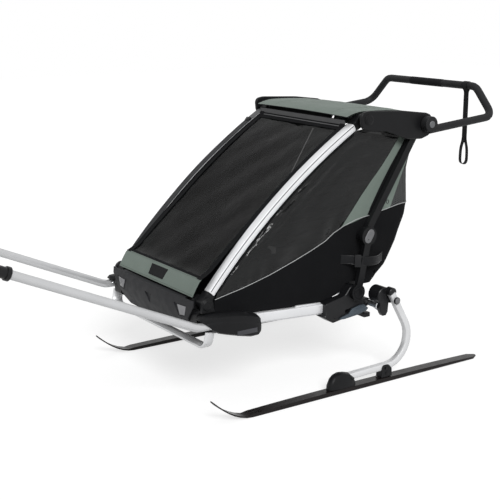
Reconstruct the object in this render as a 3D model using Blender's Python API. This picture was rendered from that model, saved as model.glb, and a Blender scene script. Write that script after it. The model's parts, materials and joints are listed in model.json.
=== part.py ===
"""Two-seat child trailer cabin standing on a cross-country ski kit.

Metres, +Z up. The trailer travels towards -Y and +X is its left side. Heights are measured
from the ski soles. Lengths are measured from the lower edge of the front cover, and the whole
model is moved at the end so that the origin lies under the middle of its length.

The cabin frame is a folding linkage: front uprights turn on the front knuckles, top brackets on
the uprights' heads, rear posts on the top brackets and lower struts on the rear brackets. Its
pieces lie in neighbouring planes across X, so that they pass each other like knife blades.
"""
import math

import bmesh
import bpy
from mathutils import Matrix, Vector

# Clearances
GAP = 0.0003
PIN_PLAY = 0.0004
SIDE_PLAY = 0.0015

# Pivots of the frame linkage, as (y, z)
FRONT_PIVOT = (0.030, 0.404)
TOP_PIVOT = (0.746, 1.019)
KNUCKLE = (0.760, 0.567)
STRUT_PIVOT = (0.712, 0.347)
POST_PIVOT = (1.008, 0.955)
HANDLE_PIVOT = (1.040, 0.985)
PIN_R = 0.008

# Front uprights: an arc between a foot socket and a head socket
UPRIGHT_OUTER_X = 0.317
UPRIGHT_WIDTH = 0.037
UPRIGHT_DEPTH = 0.030
UPRIGHT_LOW = (0.060, 0.4365)
UPRIGHT_HIGH = (0.7085, 0.9885)
UPRIGHT_BOW = 0.036
UPRIGHT_SLOT = 0.004
UPRIGHT_LENGTH = 0.855
CHEEK = 0.016
SOCKET_WALL = 0.0025
SOCKET_SHARE = 0.028
SOCKET_GAP = 0.0007

# Side rails
RAIL_WIDTH = 0.030
RAIL_HEIGHT = 0.041
RAIL_FRONT = (0.072, 0.3200)
RAIL_REAR = (0.566, 0.2935)

# Front crossbar, as (x, y, z)
CROSSBAR_END = (0.3500, 0.0290, 0.3080)
CROSSBAR_CORNER = (0.3480, 0.0180, 0.2520)
CROSSBAR_BEND = 0.026
CROSSBAR_DEPTH = 0.042
CROSSBAR_THICK = 0.010

# Front bumper
BUMPER_HALF = 0.3050
BUMPER_FRONT = -0.0250
BUMPER_BOW = 0.0100
BUMPER_THICK = 0.024
BUMPER_END_THICK = 0.0045
BUMPER_TOP = 0.4180
BUMPER_LOW = 0.2850

# Rear legs
POST_X0 = UPRIGHT_OUTER_X + SIDE_PLAY
POST_THICK = 0.020
POST_X1 = POST_X0 + POST_THICK
POST_DEPTH = 0.028
STRUT_X0 = POST_X1 + SIDE_PLAY
STRUT_THICK = 0.018
STRUT_X1 = STRUT_X0 + STRUT_THICK
STRUT_DEPTH = 0.029
KNUCKLE_R = 0.036
STRUT_FOOT_R = 0.032
LENS_R = 0.017
LENS_REACH = 0.012
LENS_RECESS = 0.008

# Top brackets and their outer covers
BRACKET_INNER_X = 0.262
COVER_X0 = POST_X1 + SIDE_PLAY
COVER_X1 = COVER_X0 + 0.014
BARREL_R = 0.0315
BARREL_X0 = COVER_X1 + SIDE_PLAY
BARREL_X1 = BARREL_X0 + 0.033
SPIGOT_R = 0.010
HANDLE_BUTTON_R = 0.014
CROSS_TUBE_R = 0.010

# Handlebar
HANDLE_R = 0.0160
HANDLE_DROP = 0.0225
HANDLE_LOW = (0.378, 1.386, 0.995)
HANDLE_TOP = (0.272, 1.392, 1.107)
HANDLE_LOW_BEND = 0.045
HANDLE_TOP_BEND = 0.050

# Wrist strap
STRAP_X = 0.220
STRAP_WIDTH = 0.020
STRAP_LOOP = 0.0150
STRAP_THICK = 0.002
STRAP_LENGTH = 0.332

# Ski kit
SKI_X = 0.4480
SKI_WIDTH = 0.048
SKI_THICK = 0.017
SKI_THIN = 0.006
SKI_TIP = (-0.030, 0.091)
SKI_BEND_START = 0.135
SKI_TAIL = 1.280
LEG_SIZE = 0.028
LEG_ROUND = 0.008
LEG_TOP = (0.800, 0.352)
LEG_CORNER = (0.966, 0.064)
LEG_BEND = 0.110
LEG_END = (0.520, 0.0535)
BOOT_REAR = 0.614
CLAMP_FRONT = 0.748
CLAMP_REAR = 0.802
HUB = (0.782, 0.340)
HUB_R = 0.034
HUB_INNER_X = 0.370
HUB_OUTER_X = 0.4315
HUB_ARM_THICK = 0.019
HUB_CAP = (0.8025, 0.3562)
HUB_CAP_R = 0.018
HUB_LOBE = (0.783, 0.275)
HUB_LOBE_R = 0.0170
AXLE = (0.776, 0.2950)
AXLE_R = 0.0125
AXLE_CONE_R = 0.0200
AXLE_CONE_LENGTH = 0.036
CARRIER_WALL = 0.005
AXLE_CAP = 0.006
KNOB = (0.816, 0.3225)
KNOB_R = 0.0120
KNOB_PIN_R = 0.0090
KNOB_FLOOR = 0.0012
KNOB_DEPTH = 0.0068
KNOB_TRAVEL = 0.0030
KNOB_REACH = 0.0030

# Tow bars
TOW_X = 0.356
TOW_R = 0.0158
TOW_SOCKET_DEPTH = 0.108
TOW_Z = 0.335
TOW_BEND_Y = -0.028
TOW_BEND = 0.070
TOW_RISE = 0.4408
TOW_REACH = -1.300
TOW_SLEEVE_Y = -0.715
TOW_SLEEVE_LENGTH = 0.085
TOW_SLEEVE_WALL = 0.004

# Side pods
POD_INNER_X = UPRIGHT_OUTER_X + 0.0015
POD_OUTER_X = 0.379
POD_FRONT = -0.018
POD_REAR = 0.243
POD_BUTTON = (0.347, 0.180)
POD_BUTTON_R = 0.009
POD_REFLECTOR = (0.128, 0.216, 0.2830, 0.3010)
POD_REFLECTOR_X = 0.3725

# Brake pedal
PEDAL_PIVOT = (0.712, 0.283)
PEDAL_PIN_R = 0.006
PEDAL_PAD_X = 0.322

# Cabin cloth and tub
CLOTH = 0.003
COVER_HALF = UPRIGHT_OUTER_X - UPRIGHT_WIDTH - 0.0015
SIDE_X = 0.300
SIDE_BULGE = 0.010
TUB_SIDE_GAP = 0.0065
TUB_HALF = UPRIGHT_OUTER_X - UPRIGHT_WIDTH - SIDE_PLAY - CHEEK - TUB_SIDE_GAP
TUB_WALL = 0.004
SEAT_HALF = 0.236
BAND_LOW = (0.000, 0.4256)
BAND_HIGH = (0.035, 0.4826)
COVER_START = 0.070
COVER_END = 0.985
COVER_LIFT = 0.010
COVER_SWELL = 0.026
COVER_TOP = (0.690, 1.016)
ROOF_HALF = 0.300
ROOF_REAR_HALF = 0.258
BACK_PANEL_HALF = 0.298

# Seat cushion and backrest
SEAT_FRONT = 0.470
SEAT_LENGTH = 0.290
SEAT_Z = 0.3370
SEAT_THICK = 0.052
BACK_LOW = (0.800, 0.410)
BACK_TOP = (0.975, 0.890)
BACK_HALF = 0.240
BACK_THICK = 0.038

MATERIALS = {
    "aluminium": ((0.74, 0.75, 0.76), 0.32, 1.0),
    "tow_aluminium": ((0.60, 0.61, 0.62), 0.38, 1.0),
    "black_plastic": ((0.030, 0.031, 0.034), 0.50, 0.0),
    "grey_plastic": ((0.30, 0.31, 0.32), 0.45, 0.0),
    "reflector": ((0.36, 0.36, 0.38), 0.20, 0.0),
    "dark_steel": ((0.12, 0.13, 0.14), 0.42, 1.0),
    "foam_grip": ((0.050, 0.051, 0.053), 0.80, 0.0),
    "green_cloth": ((0.19, 0.24, 0.20), 0.85, 0.0),
    "black_cloth": ((0.018, 0.018, 0.020), 0.90, 0.0),
    "ski_base": ((0.022, 0.019, 0.019), 0.35, 0.0),
    "seat_cloth": ((0.045, 0.046, 0.050), 0.92, 0.0),
}


def fillet(corners, step_deg=22.5):
    """Closed outline through corners (a, b, radius), each rounded by an arc."""
    outline = []
    count = len(corners)
    for i, (a, b, radius) in enumerate(corners):
        here = Vector((a, b))
        before = Vector(corners[i - 1][:2]) - here
        after = Vector(corners[(i + 1) % count][:2]) - here
        if radius <= 0:
            outline.append((a, b))
            continue
        half = before.angle(after) / 2
        cut = min(radius / math.tan(half), before.length * 0.49, after.length * 0.49)
        radius = cut * math.tan(half)
        start = here + before.normalized() * cut
        bisector = (before.normalized() + after.normalized()).normalized()
        centre = here + bisector * (radius / math.sin(half))
        turn = math.pi - 2 * half
        steps = max(1, math.ceil(math.degrees(turn) / step_deg))
        arm = start - centre
        sign = 1.0 if before.x * after.y - before.y * after.x < 0 else -1.0
        for k in range(steps + 1):
            angle = sign * turn * k / steps
            spun = Matrix.Rotation(angle, 2) @ arm
            outline.append(tuple(centre + spun))
    return outline


def circle(centre, radius, sides, start=0.0):
    """Points of a circle in a plane."""
    points = []
    for k in range(sides):
        angle = start + 2 * math.pi * k / sides
        points.append((centre[0] + radius * math.cos(angle), centre[1] + radius * math.sin(angle)))
    return points


def tangent_hull(first, first_r, second, second_r, steps=4):
    """Outline of two circles joined by their outer tangents."""
    a = Vector(first)
    b = Vector(second)
    along = math.atan2(b.y - a.y, b.x - a.x)
    lean = math.acos((first_r - second_r) / (b - a).length)
    outline = []
    for k in range(steps * 2 + 1):
        angle = along + lean + (2 * math.pi - 2 * lean) * k / (steps * 2)
        outline.append((a.x + first_r * math.cos(angle), a.y + first_r * math.sin(angle)))
    for k in range(steps + 1):
        angle = along - lean + 2 * lean * k / steps
        outline.append((b.x + second_r * math.cos(angle), b.y + second_r * math.sin(angle)))
    return outline


def make_material(name):
    """Principled material from the table at the top, one for each object."""
    colour, roughness, metallic = MATERIALS[name]
    material = bpy.data.materials.new(name)
    material.use_nodes = True
    shader = material.node_tree.nodes["Principled BSDF"]
    shader.inputs["Base Color"].default_value = (*colour, 1.0)
    shader.inputs["Roughness"].default_value = roughness
    shader.inputs["Metallic"].default_value = metallic
    material.diffuse_color = (*colour, 1.0)
    return material


def add_object(name, bm, material=None, smooth_angle=35.0):
    """Object from a bmesh, with outward faces and smooth round sides."""
    bmesh.ops.recalc_face_normals(bm, faces=bm.faces)
    if bm.calc_volume(signed=True) < 0:
        bmesh.ops.reverse_faces(bm, faces=bm.faces)
    mesh = bpy.data.meshes.new(name)
    bm.to_mesh(mesh)
    bm.free()
    mesh.shade_smooth()
    mesh.set_sharp_from_angle(angle=math.radians(smooth_angle))
    item = bpy.data.objects.new(name, mesh)
    bpy.context.scene.collection.objects.link(item)
    if material:
        item.data.materials.append(make_material(material))
    return item


def prism(outline, x0, x1, name="cutter", material=None):
    """Outline in the YZ plane extruded along X."""
    bm = bmesh.new()
    near = [bm.verts.new((x0, y, z)) for y, z in outline]
    far = [bm.verts.new((x1, y, z)) for y, z in outline]
    bm.faces.new(near)
    bm.faces.new(far)
    count = len(outline)
    for k in range(count):
        bm.faces.new((near[k], near[(k + 1) % count], far[(k + 1) % count], far[k]))
    return add_object(name, bm, material)


def loft(rings, name, material=None, smooth_angle=35.0):
    """Closed solid through rings of points, capped at both ends."""
    bm = bmesh.new()
    levels = [[bm.verts.new(p) for p in ring] for ring in rings]
    count = len(rings[0])
    for low, high in zip(levels, levels[1:]):
        for k in range(count):
            bm.faces.new((low[k], low[(k + 1) % count], high[(k + 1) % count], high[k]))
    bm.faces.new(levels[0])
    bm.faces.new(levels[-1])
    return add_object(name, bm, material, smooth_angle)


def route(corners, step_deg=15.0):
    """Points along a bent tube: straight runs between corners (x, y, z, bend radius)."""
    points = [Vector(corners[0][:3])]
    for i in range(1, len(corners) - 1):
        here = Vector(corners[i][:3])
        before = Vector(corners[i - 1][:3]) - here
        after = Vector(corners[i + 1][:3]) - here
        radius = corners[i][3]
        half = before.angle(after) / 2
        cut = radius / math.tan(half)
        start = here + before.normalized() * cut
        centre = here + (before.normalized() + after.normalized()).normalized() * (radius / math.sin(half))
        turn = math.pi - 2 * half
        axis = (start - centre).cross(-before).normalized()
        steps = max(2, math.ceil(math.degrees(turn) / step_deg))
        for k in range(steps + 1):
            points.append(centre + Matrix.Rotation(turn * k / steps, 3, axis) @ (start - centre))
    points.append(Vector(corners[-1][:3]))
    return points


def sweep(points, section, side, name, material=None, smooth_angle=35.0):
    """Section (a along side, b square to it) carried along points, without twist."""
    rings = []
    last = (points[1] - points[0]).normalized()
    side = Vector(side)
    for i, point in enumerate(points):
        ahead = points[min(i + 1, len(points) - 1)] - point
        behind = point - points[max(i - 1, 0)]
        tangent = (ahead.normalized() + behind.normalized()).normalized()
        side = last.rotation_difference(tangent) @ side
        side = (side - tangent * side.dot(tangent)).normalized()
        last = tangent
        up = tangent.cross(side)
        mitre = 1.0
        if 0 < i < len(points) - 1:
            mitre = 1.0 / max(0.5, math.cos(ahead.angle(behind) / 2))
        bend = (ahead.normalized() - behind.normalized())
        ring = []
        for a, b in section:
            offset = side * a + up * b
            if bend.length > 1e-6:
                inward = bend.normalized()
                offset += inward * offset.dot(inward) * (mitre - 1.0)
            ring.append(point + offset)
        rings.append(ring)
    return loft(rings, name, material, smooth_angle)


def turned(profile, centre, sides, name="cutter", material=None):
    """Solid of revolution about the X axis through centre (y, z), profile as (x, radius)."""
    rings = []
    for x, radius in profile:
        rings.append([(x, y, z) for y, z in circle(centre, radius, sides)])
    return loft(rings, name, material)


def rounded_box(low, high, radius, name="cutter", material=None, segments=2):
    """Box between two corners with bevelled edges."""
    bm = bmesh.new()
    size = Vector(high) - Vector(low)
    middle = (Vector(high) + Vector(low)) / 2
    bmesh.ops.create_cube(bm, size=1.0, matrix=Matrix.Translation(middle) @ Matrix.Diagonal((*size, 1.0)))
    if radius > 0:
        bmesh.ops.bevel(bm, geom=bm.edges[:], offset=radius, segments=segments, affect="EDGES", profile=0.5)
    return add_object(name, bm, material)


def bake(item):
    """Applies an object's modifiers to its mesh."""
    graph = bpy.context.evaluated_depsgraph_get()
    mesh = bpy.data.meshes.new_from_object(item.evaluated_get(graph))
    item.modifiers.clear()
    item.data = mesh


def combine(item, tools, operation):
    """Boolean of an object with other objects, which are used up."""
    for tool in tools:
        modifier = item.modifiers.new(operation.lower(), "BOOLEAN")
        modifier.operation = operation
        modifier.solver = "EXACT"
        modifier.object = tool
        bake(item)
        bpy.data.objects.remove(tool, do_unlink=True)
    item.data.shade_smooth()
    item.data.set_sharp_from_angle(angle=math.radians(35.0))
    return item


def cut(item, *tools):
    """Takes tools away from an object."""
    return combine(item, tools, "DIFFERENCE")


def weld(item, *tools):
    """Joins tools to an object as one solid."""
    return combine(item, tools, "UNION")


def bevel(item, width, segments=1, angle=40.0):
    """Rounds an object's sharp edges."""
    modifier = item.modifiers.new("edges", "BEVEL")
    modifier.width = width
    modifier.segments = segments
    modifier.limit_method = "ANGLE"
    modifier.angle_limit = math.radians(angle)
    bake(item)
    item.data.shade_smooth()
    item.data.set_sharp_from_angle(angle=math.radians(35.0))
    return item


def mirrored(item, name):
    """Copy of a left piece on the right side."""
    mesh = item.data.copy()
    mesh.transform(Matrix.Scale(-1.0, 4, (1, 0, 0)))
    mesh.flip_normals()
    mesh.materials.clear()
    mesh.materials.append(item.data.materials[0].copy())
    twin = bpy.data.objects.new(name, mesh)
    bpy.context.scene.collection.objects.link(twin)
    return twin


BODY_OF = {}


def pair(item, stem, bodies):
    """Names a left piece, makes its right twin and notes their bodies."""
    item.name = stem + "_left"
    twin = mirrored(item, stem + "_right")
    BODY_OF[item] = bodies[0]
    BODY_OF[twin] = bodies[1]


def single(item, body):
    """Notes the body of a piece that has no twin."""
    BODY_OF[item] = body


def both(body):
    """The same body for a left piece and its twin."""
    return (body, body)


# Shape of the front uprights' centre line

def upright_arc(share, lift=0.0):
    """Point (y, z) on the uprights' arc at a share of its length, lifted square to it."""
    low = Vector(UPRIGHT_LOW)
    high = Vector(UPRIGHT_HIGH)
    chord = high - low
    radius = (chord.length / 2) ** 2 / (2 * UPRIGHT_BOW) + UPRIGHT_BOW / 2
    half = math.asin(chord.length / 2 / radius)
    along = chord.normalized()
    out = Vector((-along.y, along.x))
    angle = half * (2 * share - 1)
    centre = (low + high) / 2 - out * (radius - UPRIGHT_BOW)
    direction = out * math.cos(angle) + along * math.sin(angle)
    return centre + direction * (radius + lift)


def upright_line(first, last, steps, x):
    """Points along the uprights' arc between two shares."""
    line = []
    for k in range(steps + 1):
        y, z = upright_arc(first + (last - first) * k / steps)
        line.append(Vector((x, y, z)))
    return line


def slotted_section(width, depth, slot):
    """Uprights' section: rounded, with a cloth channel in its front outer corner."""
    a = width / 2
    b = depth / 2
    corners = [(-a, -b, 0.004), (a, -b, 0.005), (a, b * 0.45, 0.0), (a - slot, b * 0.40, 0.0),
               (a - slot, b * 0.62, 0.0), (a - slot * 0.15, b * 0.72, 0.0), (a * 0.72, b, 0.003), (-a, b, 0.005)]
    return fillet(corners, 45.0)


def make_uprights():
    """Slotted aluminium uprights with a black socket at each end."""
    middle = UPRIGHT_OUTER_X - UPRIGHT_WIDTH / 2
    section = slotted_section(UPRIGHT_WIDTH, UPRIGHT_DEPTH, UPRIGHT_SLOT)
    upright = sweep(upright_line(0.0, 1.0, 12, middle), section, (1, 0, 0), "upright", "aluminium", 30.0)
    pair(upright, "front_upright", both("front_frame"))
    make_upright_foot(middle)
    make_upright_head(middle)


def socket_sleeve(first, last, middle):
    """Block round an end of the upright, before the upright's own space is cut out."""
    wall = SOCKET_WALL
    a = UPRIGHT_WIDTH / 2 - GAP
    b = UPRIGHT_DEPTH / 2 + wall
    section = fillet([(-a, -b, 0.004), (a, -b, 0.004), (a, b, 0.004), (-a, b, 0.004)], 45.0)
    return sweep(upright_line(first, last, 2, middle), section, (1, 0, 0), "socket")


def make_upright_foot(middle):
    """Foot: an eye on the front pivot and a short block that carries the upright."""
    x0 = middle - UPRIGHT_WIDTH / 2 + GAP
    x1 = middle + UPRIGHT_WIDTH / 2 - GAP
    base = upright_arc(-(0.0165 + SOCKET_GAP) / UPRIGHT_LENGTH)
    foot = prism(tangent_hull(FRONT_PIVOT, 0.0195, base, 0.0165), x0, x1, "foot", "black_plastic")
    block = socket_sleeve(-SOCKET_SHARE, -SOCKET_GAP / UPRIGHT_LENGTH, middle)
    weld(foot, block)
    cut(foot, turned([(x0 - 0.01, PIN_R + PIN_PLAY), (x1 + 0.01, PIN_R + PIN_PLAY)], FRONT_PIVOT, 20))
    pair(foot, "upright_foot", both("front_frame"))


def make_upright_head(middle):
    """Head: a short block on top of the upright and an eye on the top pivot."""
    x0 = middle - UPRIGHT_WIDTH / 2 + GAP
    x1 = middle + UPRIGHT_WIDTH / 2 - GAP
    base = upright_arc(1 + (0.0165 + SOCKET_GAP) / UPRIGHT_LENGTH)
    head = prism(tangent_hull(TOP_PIVOT, 0.0205, base, 0.0165), x0, x1, "head", "black_plastic")
    block = socket_sleeve(1 + SOCKET_GAP / UPRIGHT_LENGTH, 1 + SOCKET_SHARE, middle)
    weld(head, block)
    cut(head, turned([(x0 - 0.01, PIN_R + PIN_PLAY), (x1 + 0.01, PIN_R + PIN_PLAY)], TOP_PIVOT, 20))
    pair(head, "upright_head", both("front_frame"))


def make_top_cross_tube():
    """Tube between the uprights, above the window."""
    centre = upright_arc(0.975, -0.003)
    reach = UPRIGHT_OUTER_X - UPRIGHT_WIDTH - GAP
    tube = turned([(-reach, CROSS_TUBE_R), (reach, CROSS_TUBE_R)], centre, 16, "top_cross_tube", "aluminium")
    single(tube, "front_frame")


def sheet(rows, thickness, name, material):
    """Closed sheet through a grid of points, thickened to both sides."""
    height = len(rows)
    width = len(rows[0])
    bm = bmesh.new()
    layers = ([], [])
    for i in range(height):
        for layer in layers:
            layer.append([])
        for j in range(width):
            down = rows[min(i + 1, height - 1)][j] - rows[max(i - 1, 0)][j]
            across = rows[i][min(j + 1, width - 1)] - rows[i][max(j - 1, 0)]
            normal = down.cross(across).normalized()
            layers[0][i].append(bm.verts.new(rows[i][j] + normal * thickness / 2))
            layers[1][i].append(bm.verts.new(rows[i][j] - normal * thickness / 2))
    for layer in layers:
        for i in range(height - 1):
            for j in range(width - 1):
                bm.faces.new((layer[i][j], layer[i][j + 1], layer[i + 1][j + 1], layer[i + 1][j]))
    rim = [(0, j) for j in range(width)] + [(i, width - 1) for i in range(1, height)]
    rim += [(height - 1, j) for j in range(width - 2, -1, -1)] + [(i, 0) for i in range(height - 2, 0, -1)]
    for k, (i, j) in enumerate(rim):
        m, n = rim[(k + 1) % len(rim)]
        bm.faces.new((layers[0][i][j], layers[0][m][n], layers[1][m][n], layers[1][i][j]))
    return add_object(name, bm, material)


def make_front_cover():
    """Front cover: a green band at the bottom, then a window that follows the uprights."""
    rows = []
    profile = [Vector(BAND_LOW), Vector(BAND_LOW).lerp(Vector(BAND_HIGH), 0.5), Vector(BAND_HIGH)]
    for k in range(11):
        share = COVER_START + (COVER_END - COVER_START) * k / 10
        swell = COVER_SWELL * max(0.0, 1 - share / 0.42) ** 1.5
        profile.append(upright_arc(share, COVER_LIFT + swell))
    profile.append(Vector(COVER_TOP))
    for y, z in profile:
        rows.append([Vector((COVER_HALF * (2 * k / 4 - 1), y, z)) for k in range(5)])
    single(sheet(rows, CLOTH, "front_cover", "black_cloth"), "front_frame")


# Chassis

def make_rails():
    """Side rails: rounded aluminium extrusions with a cloth channel on top."""
    a = RAIL_WIDTH / 2
    b = RAIL_HEIGHT / 2
    section = fillet([(-a, -b, 0.006), (a, -b, 0.006), (a, b * 0.72, 0.003), (a - 0.005, b * 0.80, 0.0),
                      (a - 0.005, b, 0.002), (-a, b, 0.004)], 30.0)
    middle = UPRIGHT_OUTER_X - RAIL_WIDTH / 2
    points = [Vector((middle, *RAIL_FRONT)), Vector((middle, *RAIL_REAR))]
    rail = sweep(points, section, (1, 0, 0), "rail", "aluminium")
    pair(rail, "side_rail", both("chassis"))


def rail_lean():
    """How far a rail's square end leans along the length, because the rail slopes."""
    slope = (RAIL_FRONT[1] - RAIL_REAR[1]) / (RAIL_REAR[0] - RAIL_FRONT[0])
    return RAIL_HEIGHT / 2 * slope


def make_front_knuckles():
    """Clevis on the rail's front end, with the front pivot's pin and cap."""
    inner = UPRIGHT_OUTER_X - UPRIGHT_WIDTH - SIDE_PLAY
    outer = UPRIGHT_OUTER_X + SIDE_PLAY
    y, z = FRONT_PIVOT
    floor = z - 0.0195 - SIDE_PLAY
    lobe = fillet([(y - 0.024, floor - 0.008, 0.0), (y + 0.030, floor - 0.008, 0.0), (y + 0.026, z + 0.012, 0.020),
                   (y + 0.002, z + 0.030, 0.022), (y - 0.024, z + 0.012, 0.020)], 22.5)
    knuckle = prism(lobe, outer, outer + CHEEK, "knuckle", "black_plastic")
    inner_cheek = prism(lobe, inner - CHEEK, inner)
    bridge = prism([(y - 0.024, floor - 0.008), (y + 0.030, floor - 0.008), (y + 0.030, floor), (y - 0.024, floor)],
                   inner - CHEEK + 0.0005, outer + CHEEK - 0.0005)
    end = RAIL_FRONT[0] - GAP - rail_lean()
    low = RAIL_FRONT[1] - RAIL_HEIGHT / 2
    base = fillet([(y - 0.036, floor - 0.014, 0.010), (y - 0.034, low + 0.012, 0.010), (y - 0.006, low - 0.004, 0.012),
                   (end, low - 0.002, 0.0), (end, low + RAIL_HEIGHT + 0.001, 0.0), (y + 0.026, floor - 0.004, 0.004),
                   (y - 0.02, floor - 0.004, 0.004)], 30.0)
    block = prism(base, inner - CHEEK + 0.001, UPRIGHT_OUTER_X - 0.0005)
    pin = turned([(inner - 0.004, PIN_R), (outer + 0.004, PIN_R)], FRONT_PIVOT, 16)
    cap = turned([(outer + CHEEK - 0.002, 0.0205), (outer + CHEEK + 0.003, 0.0205), (outer + CHEEK + 0.005, 0.0180)],
                 FRONT_PIVOT, 24)
    bevel(knuckle, 0.003)
    weld(knuckle, inner_cheek, bridge, block, pin, cap)
    pair(knuckle, "front_knuckle", both("chassis"))


def make_rear_brackets():
    """Bracket on the rail's rear end: carries the strut's pin and the rear axle."""
    front = RAIL_REAR[0] + GAP + rail_lean()
    y, z = STRUT_PIVOT
    rz = RAIL_REAR[1]
    inner = UPRIGHT_OUTER_X - RAIL_WIDTH - 0.004
    outer = POST_X1 - 0.0005
    body = fillet([(front, RAIL_REAR[1] + RAIL_HEIGHT / 2 + 0.004, 0.006), (y - 0.052, z - 0.010, 0.030),
                   (y - 0.022, z + 0.026, 0.020), (y + 0.018, z + 0.022, 0.018), (y + 0.036, rz + 0.034, 0.012),
                   (y + 0.040, rz - 0.012, 0.014), (y + 0.008, rz - 0.020, 0.010), (front + 0.110, rz - 0.0455, 0.010),
                   (front + 0.036, rz - 0.0575, 0.010), (front - 0.012, rz - 0.0275, 0.006),
                   (front - 0.002, rz - 0.0235, 0.0)], 30.0)
    bracket = prism(body, inner, outer, "bracket", "black_plastic")
    bevel(bracket, 0.0025)
    carrier = prism(tangent_hull((y + 0.018, rz - 0.006), AXLE_R + 0.002, AXLE, AXLE_R + CARRIER_WALL, 3), inner + 0.004,
                    outer - 0.003)
    weld(bracket, carrier)
    window = prism(fillet([(y - 0.052, rz - 0.0295, 0.005), (y - 0.022, rz - 0.0235, 0.005), (y - 0.020, rz - 0.0095, 0.005),
                           (y - 0.050, rz - 0.0135, 0.005)], 45.0), inner - 0.01, outer + 0.01)
    pocket = prism(fillet([(y - 0.085, z - 0.012, 0.008), (y - 0.030, z + 0.002, 0.008), (y - 0.028, rz + 0.0105, 0.006),
                           (y - 0.085, rz - 0.0055, 0.006)], 45.0), inner - 0.01, inner + 0.018)
    axle_hole = turned([(inner - 0.01, AXLE_R + PIN_PLAY), (outer + 0.01, AXLE_R + PIN_PLAY)], AXLE, 20)
    cut(bracket, window, pocket, axle_hole)
    pin = turned([(outer - 0.004, PIN_R), (STRUT_X1 - 0.0045, PIN_R)], STRUT_PIVOT, 16)
    pedal_pin = turned([(inner - 0.0165, PEDAL_PIN_R), (inner + 0.004, PEDAL_PIN_R)], PEDAL_PIVOT, 16)
    weld(bracket, pin, pedal_pin)
    pair(bracket, "rear_bracket", both("chassis"))


def make_axle():
    """Rear axle tube through both brackets, with a cone that seats on each hub's arm."""
    arm = HUB_OUTER_X - HUB_ARM_THICK
    reach = HUB_OUTER_X - AXLE_CAP
    half = [(arm - GAP - AXLE_CONE_LENGTH, AXLE_R), (arm - GAP - 0.003, AXLE_CONE_R), (arm - GAP, AXLE_CONE_R - 0.002),
            (arm - GAP + 0.0001, AXLE_R), (reach, AXLE_R)]
    tube = turned([(-x, r) for x, r in reversed(half)] + half, AXLE, 16, "axle_tube", "dark_steel")
    single(tube, "chassis")


def crossbar(extra, name, material=None):
    """Flat oval bar that loops under the front from pod to pod, enlarged by extra."""
    a = CROSSBAR_DEPTH / 2 + extra
    b = CROSSBAR_THICK / 2 + extra
    section = fillet([(-a, -b, b * 0.9), (a, -b, b * 0.9), (a, b, b * 0.9), (-a, b, b * 0.9)], 45.0)
    corner = Vector(CROSSBAR_CORNER)
    end = Vector(CROSSBAR_END)
    end += (end - corner).normalized() * extra
    flip = Matrix.Scale(-1.0, 3, (1, 0, 0))
    corners = [(*end, 0), (*corner, CROSSBAR_BEND), (*(flip @ corner), CROSSBAR_BEND), (*(flip @ end), 0)]
    side = Vector((-1, 0, 0)).rotation_difference(corner - end) @ Vector((0, 1, 0))
    return sweep(route(corners, 22.5), section, side, name, material)


def make_front_crossbar():
    """Foot bar whose ends sit in pockets under the pods."""
    single(crossbar(0.0, "front_crossbar", "aluminium"), "chassis")


def pod_ring(y, low, high, outer, lean):
    """Ring of the pod's section at one station; the front rings lean back at the bottom."""
    inner = POD_INNER_X
    wide = outer - inner
    tall = high - low
    shape = [(0.0, 0.16), (0.22, 0.0), (0.80, 0.0), (0.96, 0.07), (1.0, 0.25), (1.0, 0.60), (0.93, 0.66), (0.90, 0.88),
             (0.62, 1.0), (0.22, 1.0), (0.0, 0.90)]
    ring = []
    for a, b in shape:
        ring.append((inner + wide * a, y + lean * (1 - b), low + tall * b))
    return ring


def make_pods():
    """Moulded pods outside the rails: tow bar socket in front, reflector and button behind."""
    stations = [(POD_FRONT, 0.314, 0.362, 0.3770, 0.055), (POD_FRONT + 0.010, 0.310, 0.371, 0.3785, 0.053),
                (POD_FRONT + 0.050, 0.303, 0.3735, POD_OUTER_X, 0.022), (0.090, 0.292, 0.371, POD_OUTER_X, 0.0),
                (0.150, 0.276, 0.364, POD_OUTER_X, 0.0), (0.195, 0.266, 0.355, POD_OUTER_X - 0.002, 0.0),
                (0.228, 0.265, 0.344, POD_OUTER_X - 0.006, 0.0), (POD_REAR, 0.275, 0.332, POD_OUTER_X - 0.014, 0.0)]
    rings = [pod_ring(*station) for station in stations]
    pod = loft(rings, "pod", "black_plastic", 30.0)
    bore = route([(TOW_X, POD_FRONT + TOW_SOCKET_DEPTH + 0.001, TOW_Z, 0), (TOW_X, TOW_BEND_Y, TOW_Z, TOW_BEND),
                  (TOW_X, TOW_BEND_Y - 0.08, TOW_Z + 0.08 * TOW_RISE, 0)])
    round_section = circle((0, 0), TOW_R + PIN_PLAY, 16, math.pi / 16)
    cut(pod, sweep(bore, round_section, (1, 0, 0), "bore"))
    cut(pod, crossbar(GAP, "pocket"))
    bx, by = POD_BUTTON
    recess = turned_z([(0.328, POD_BUTTON_R + PIN_PLAY), (0.400, POD_BUTTON_R + PIN_PLAY)], (bx, by), 16)
    cut(pod, recess)
    y0, y1, z0, z1 = POD_REFLECTOR
    shelf = rounded_box((POD_REFLECTOR_X - GAP, y0 - GAP, z0 - GAP), (POD_OUTER_X + 0.02, y1 + GAP, z1 + GAP), 0.0)
    cut(pod, shelf)
    pair(pod, "wing_pod", both("chassis"))
    lens = rounded_box((POD_REFLECTOR_X, y0, z0), (POD_OUTER_X + 0.0005, y1, z1), 0.0015, "lens", "reflector")
    pair(lens, "pod_reflector", both("chassis"))
    button = turned_z([(0.3335, POD_BUTTON_R), (0.3575, POD_BUTTON_R), (0.3595, POD_BUTTON_R - 0.002)], (bx, by), 16,
                      "button", "grey_plastic")
    pair(button, "pod_button", ("pod_button_left", "pod_button_right"))


def turned_z(profile, centre, sides, name="cutter", material=None):
    """Solid of revolution about a vertical axis through centre (x, y), profile as (z, radius)."""
    rings = [[(x, y, z) for x, y in circle(centre, radius, sides)] for z, radius in profile]
    return loft(rings, name, material)


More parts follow.
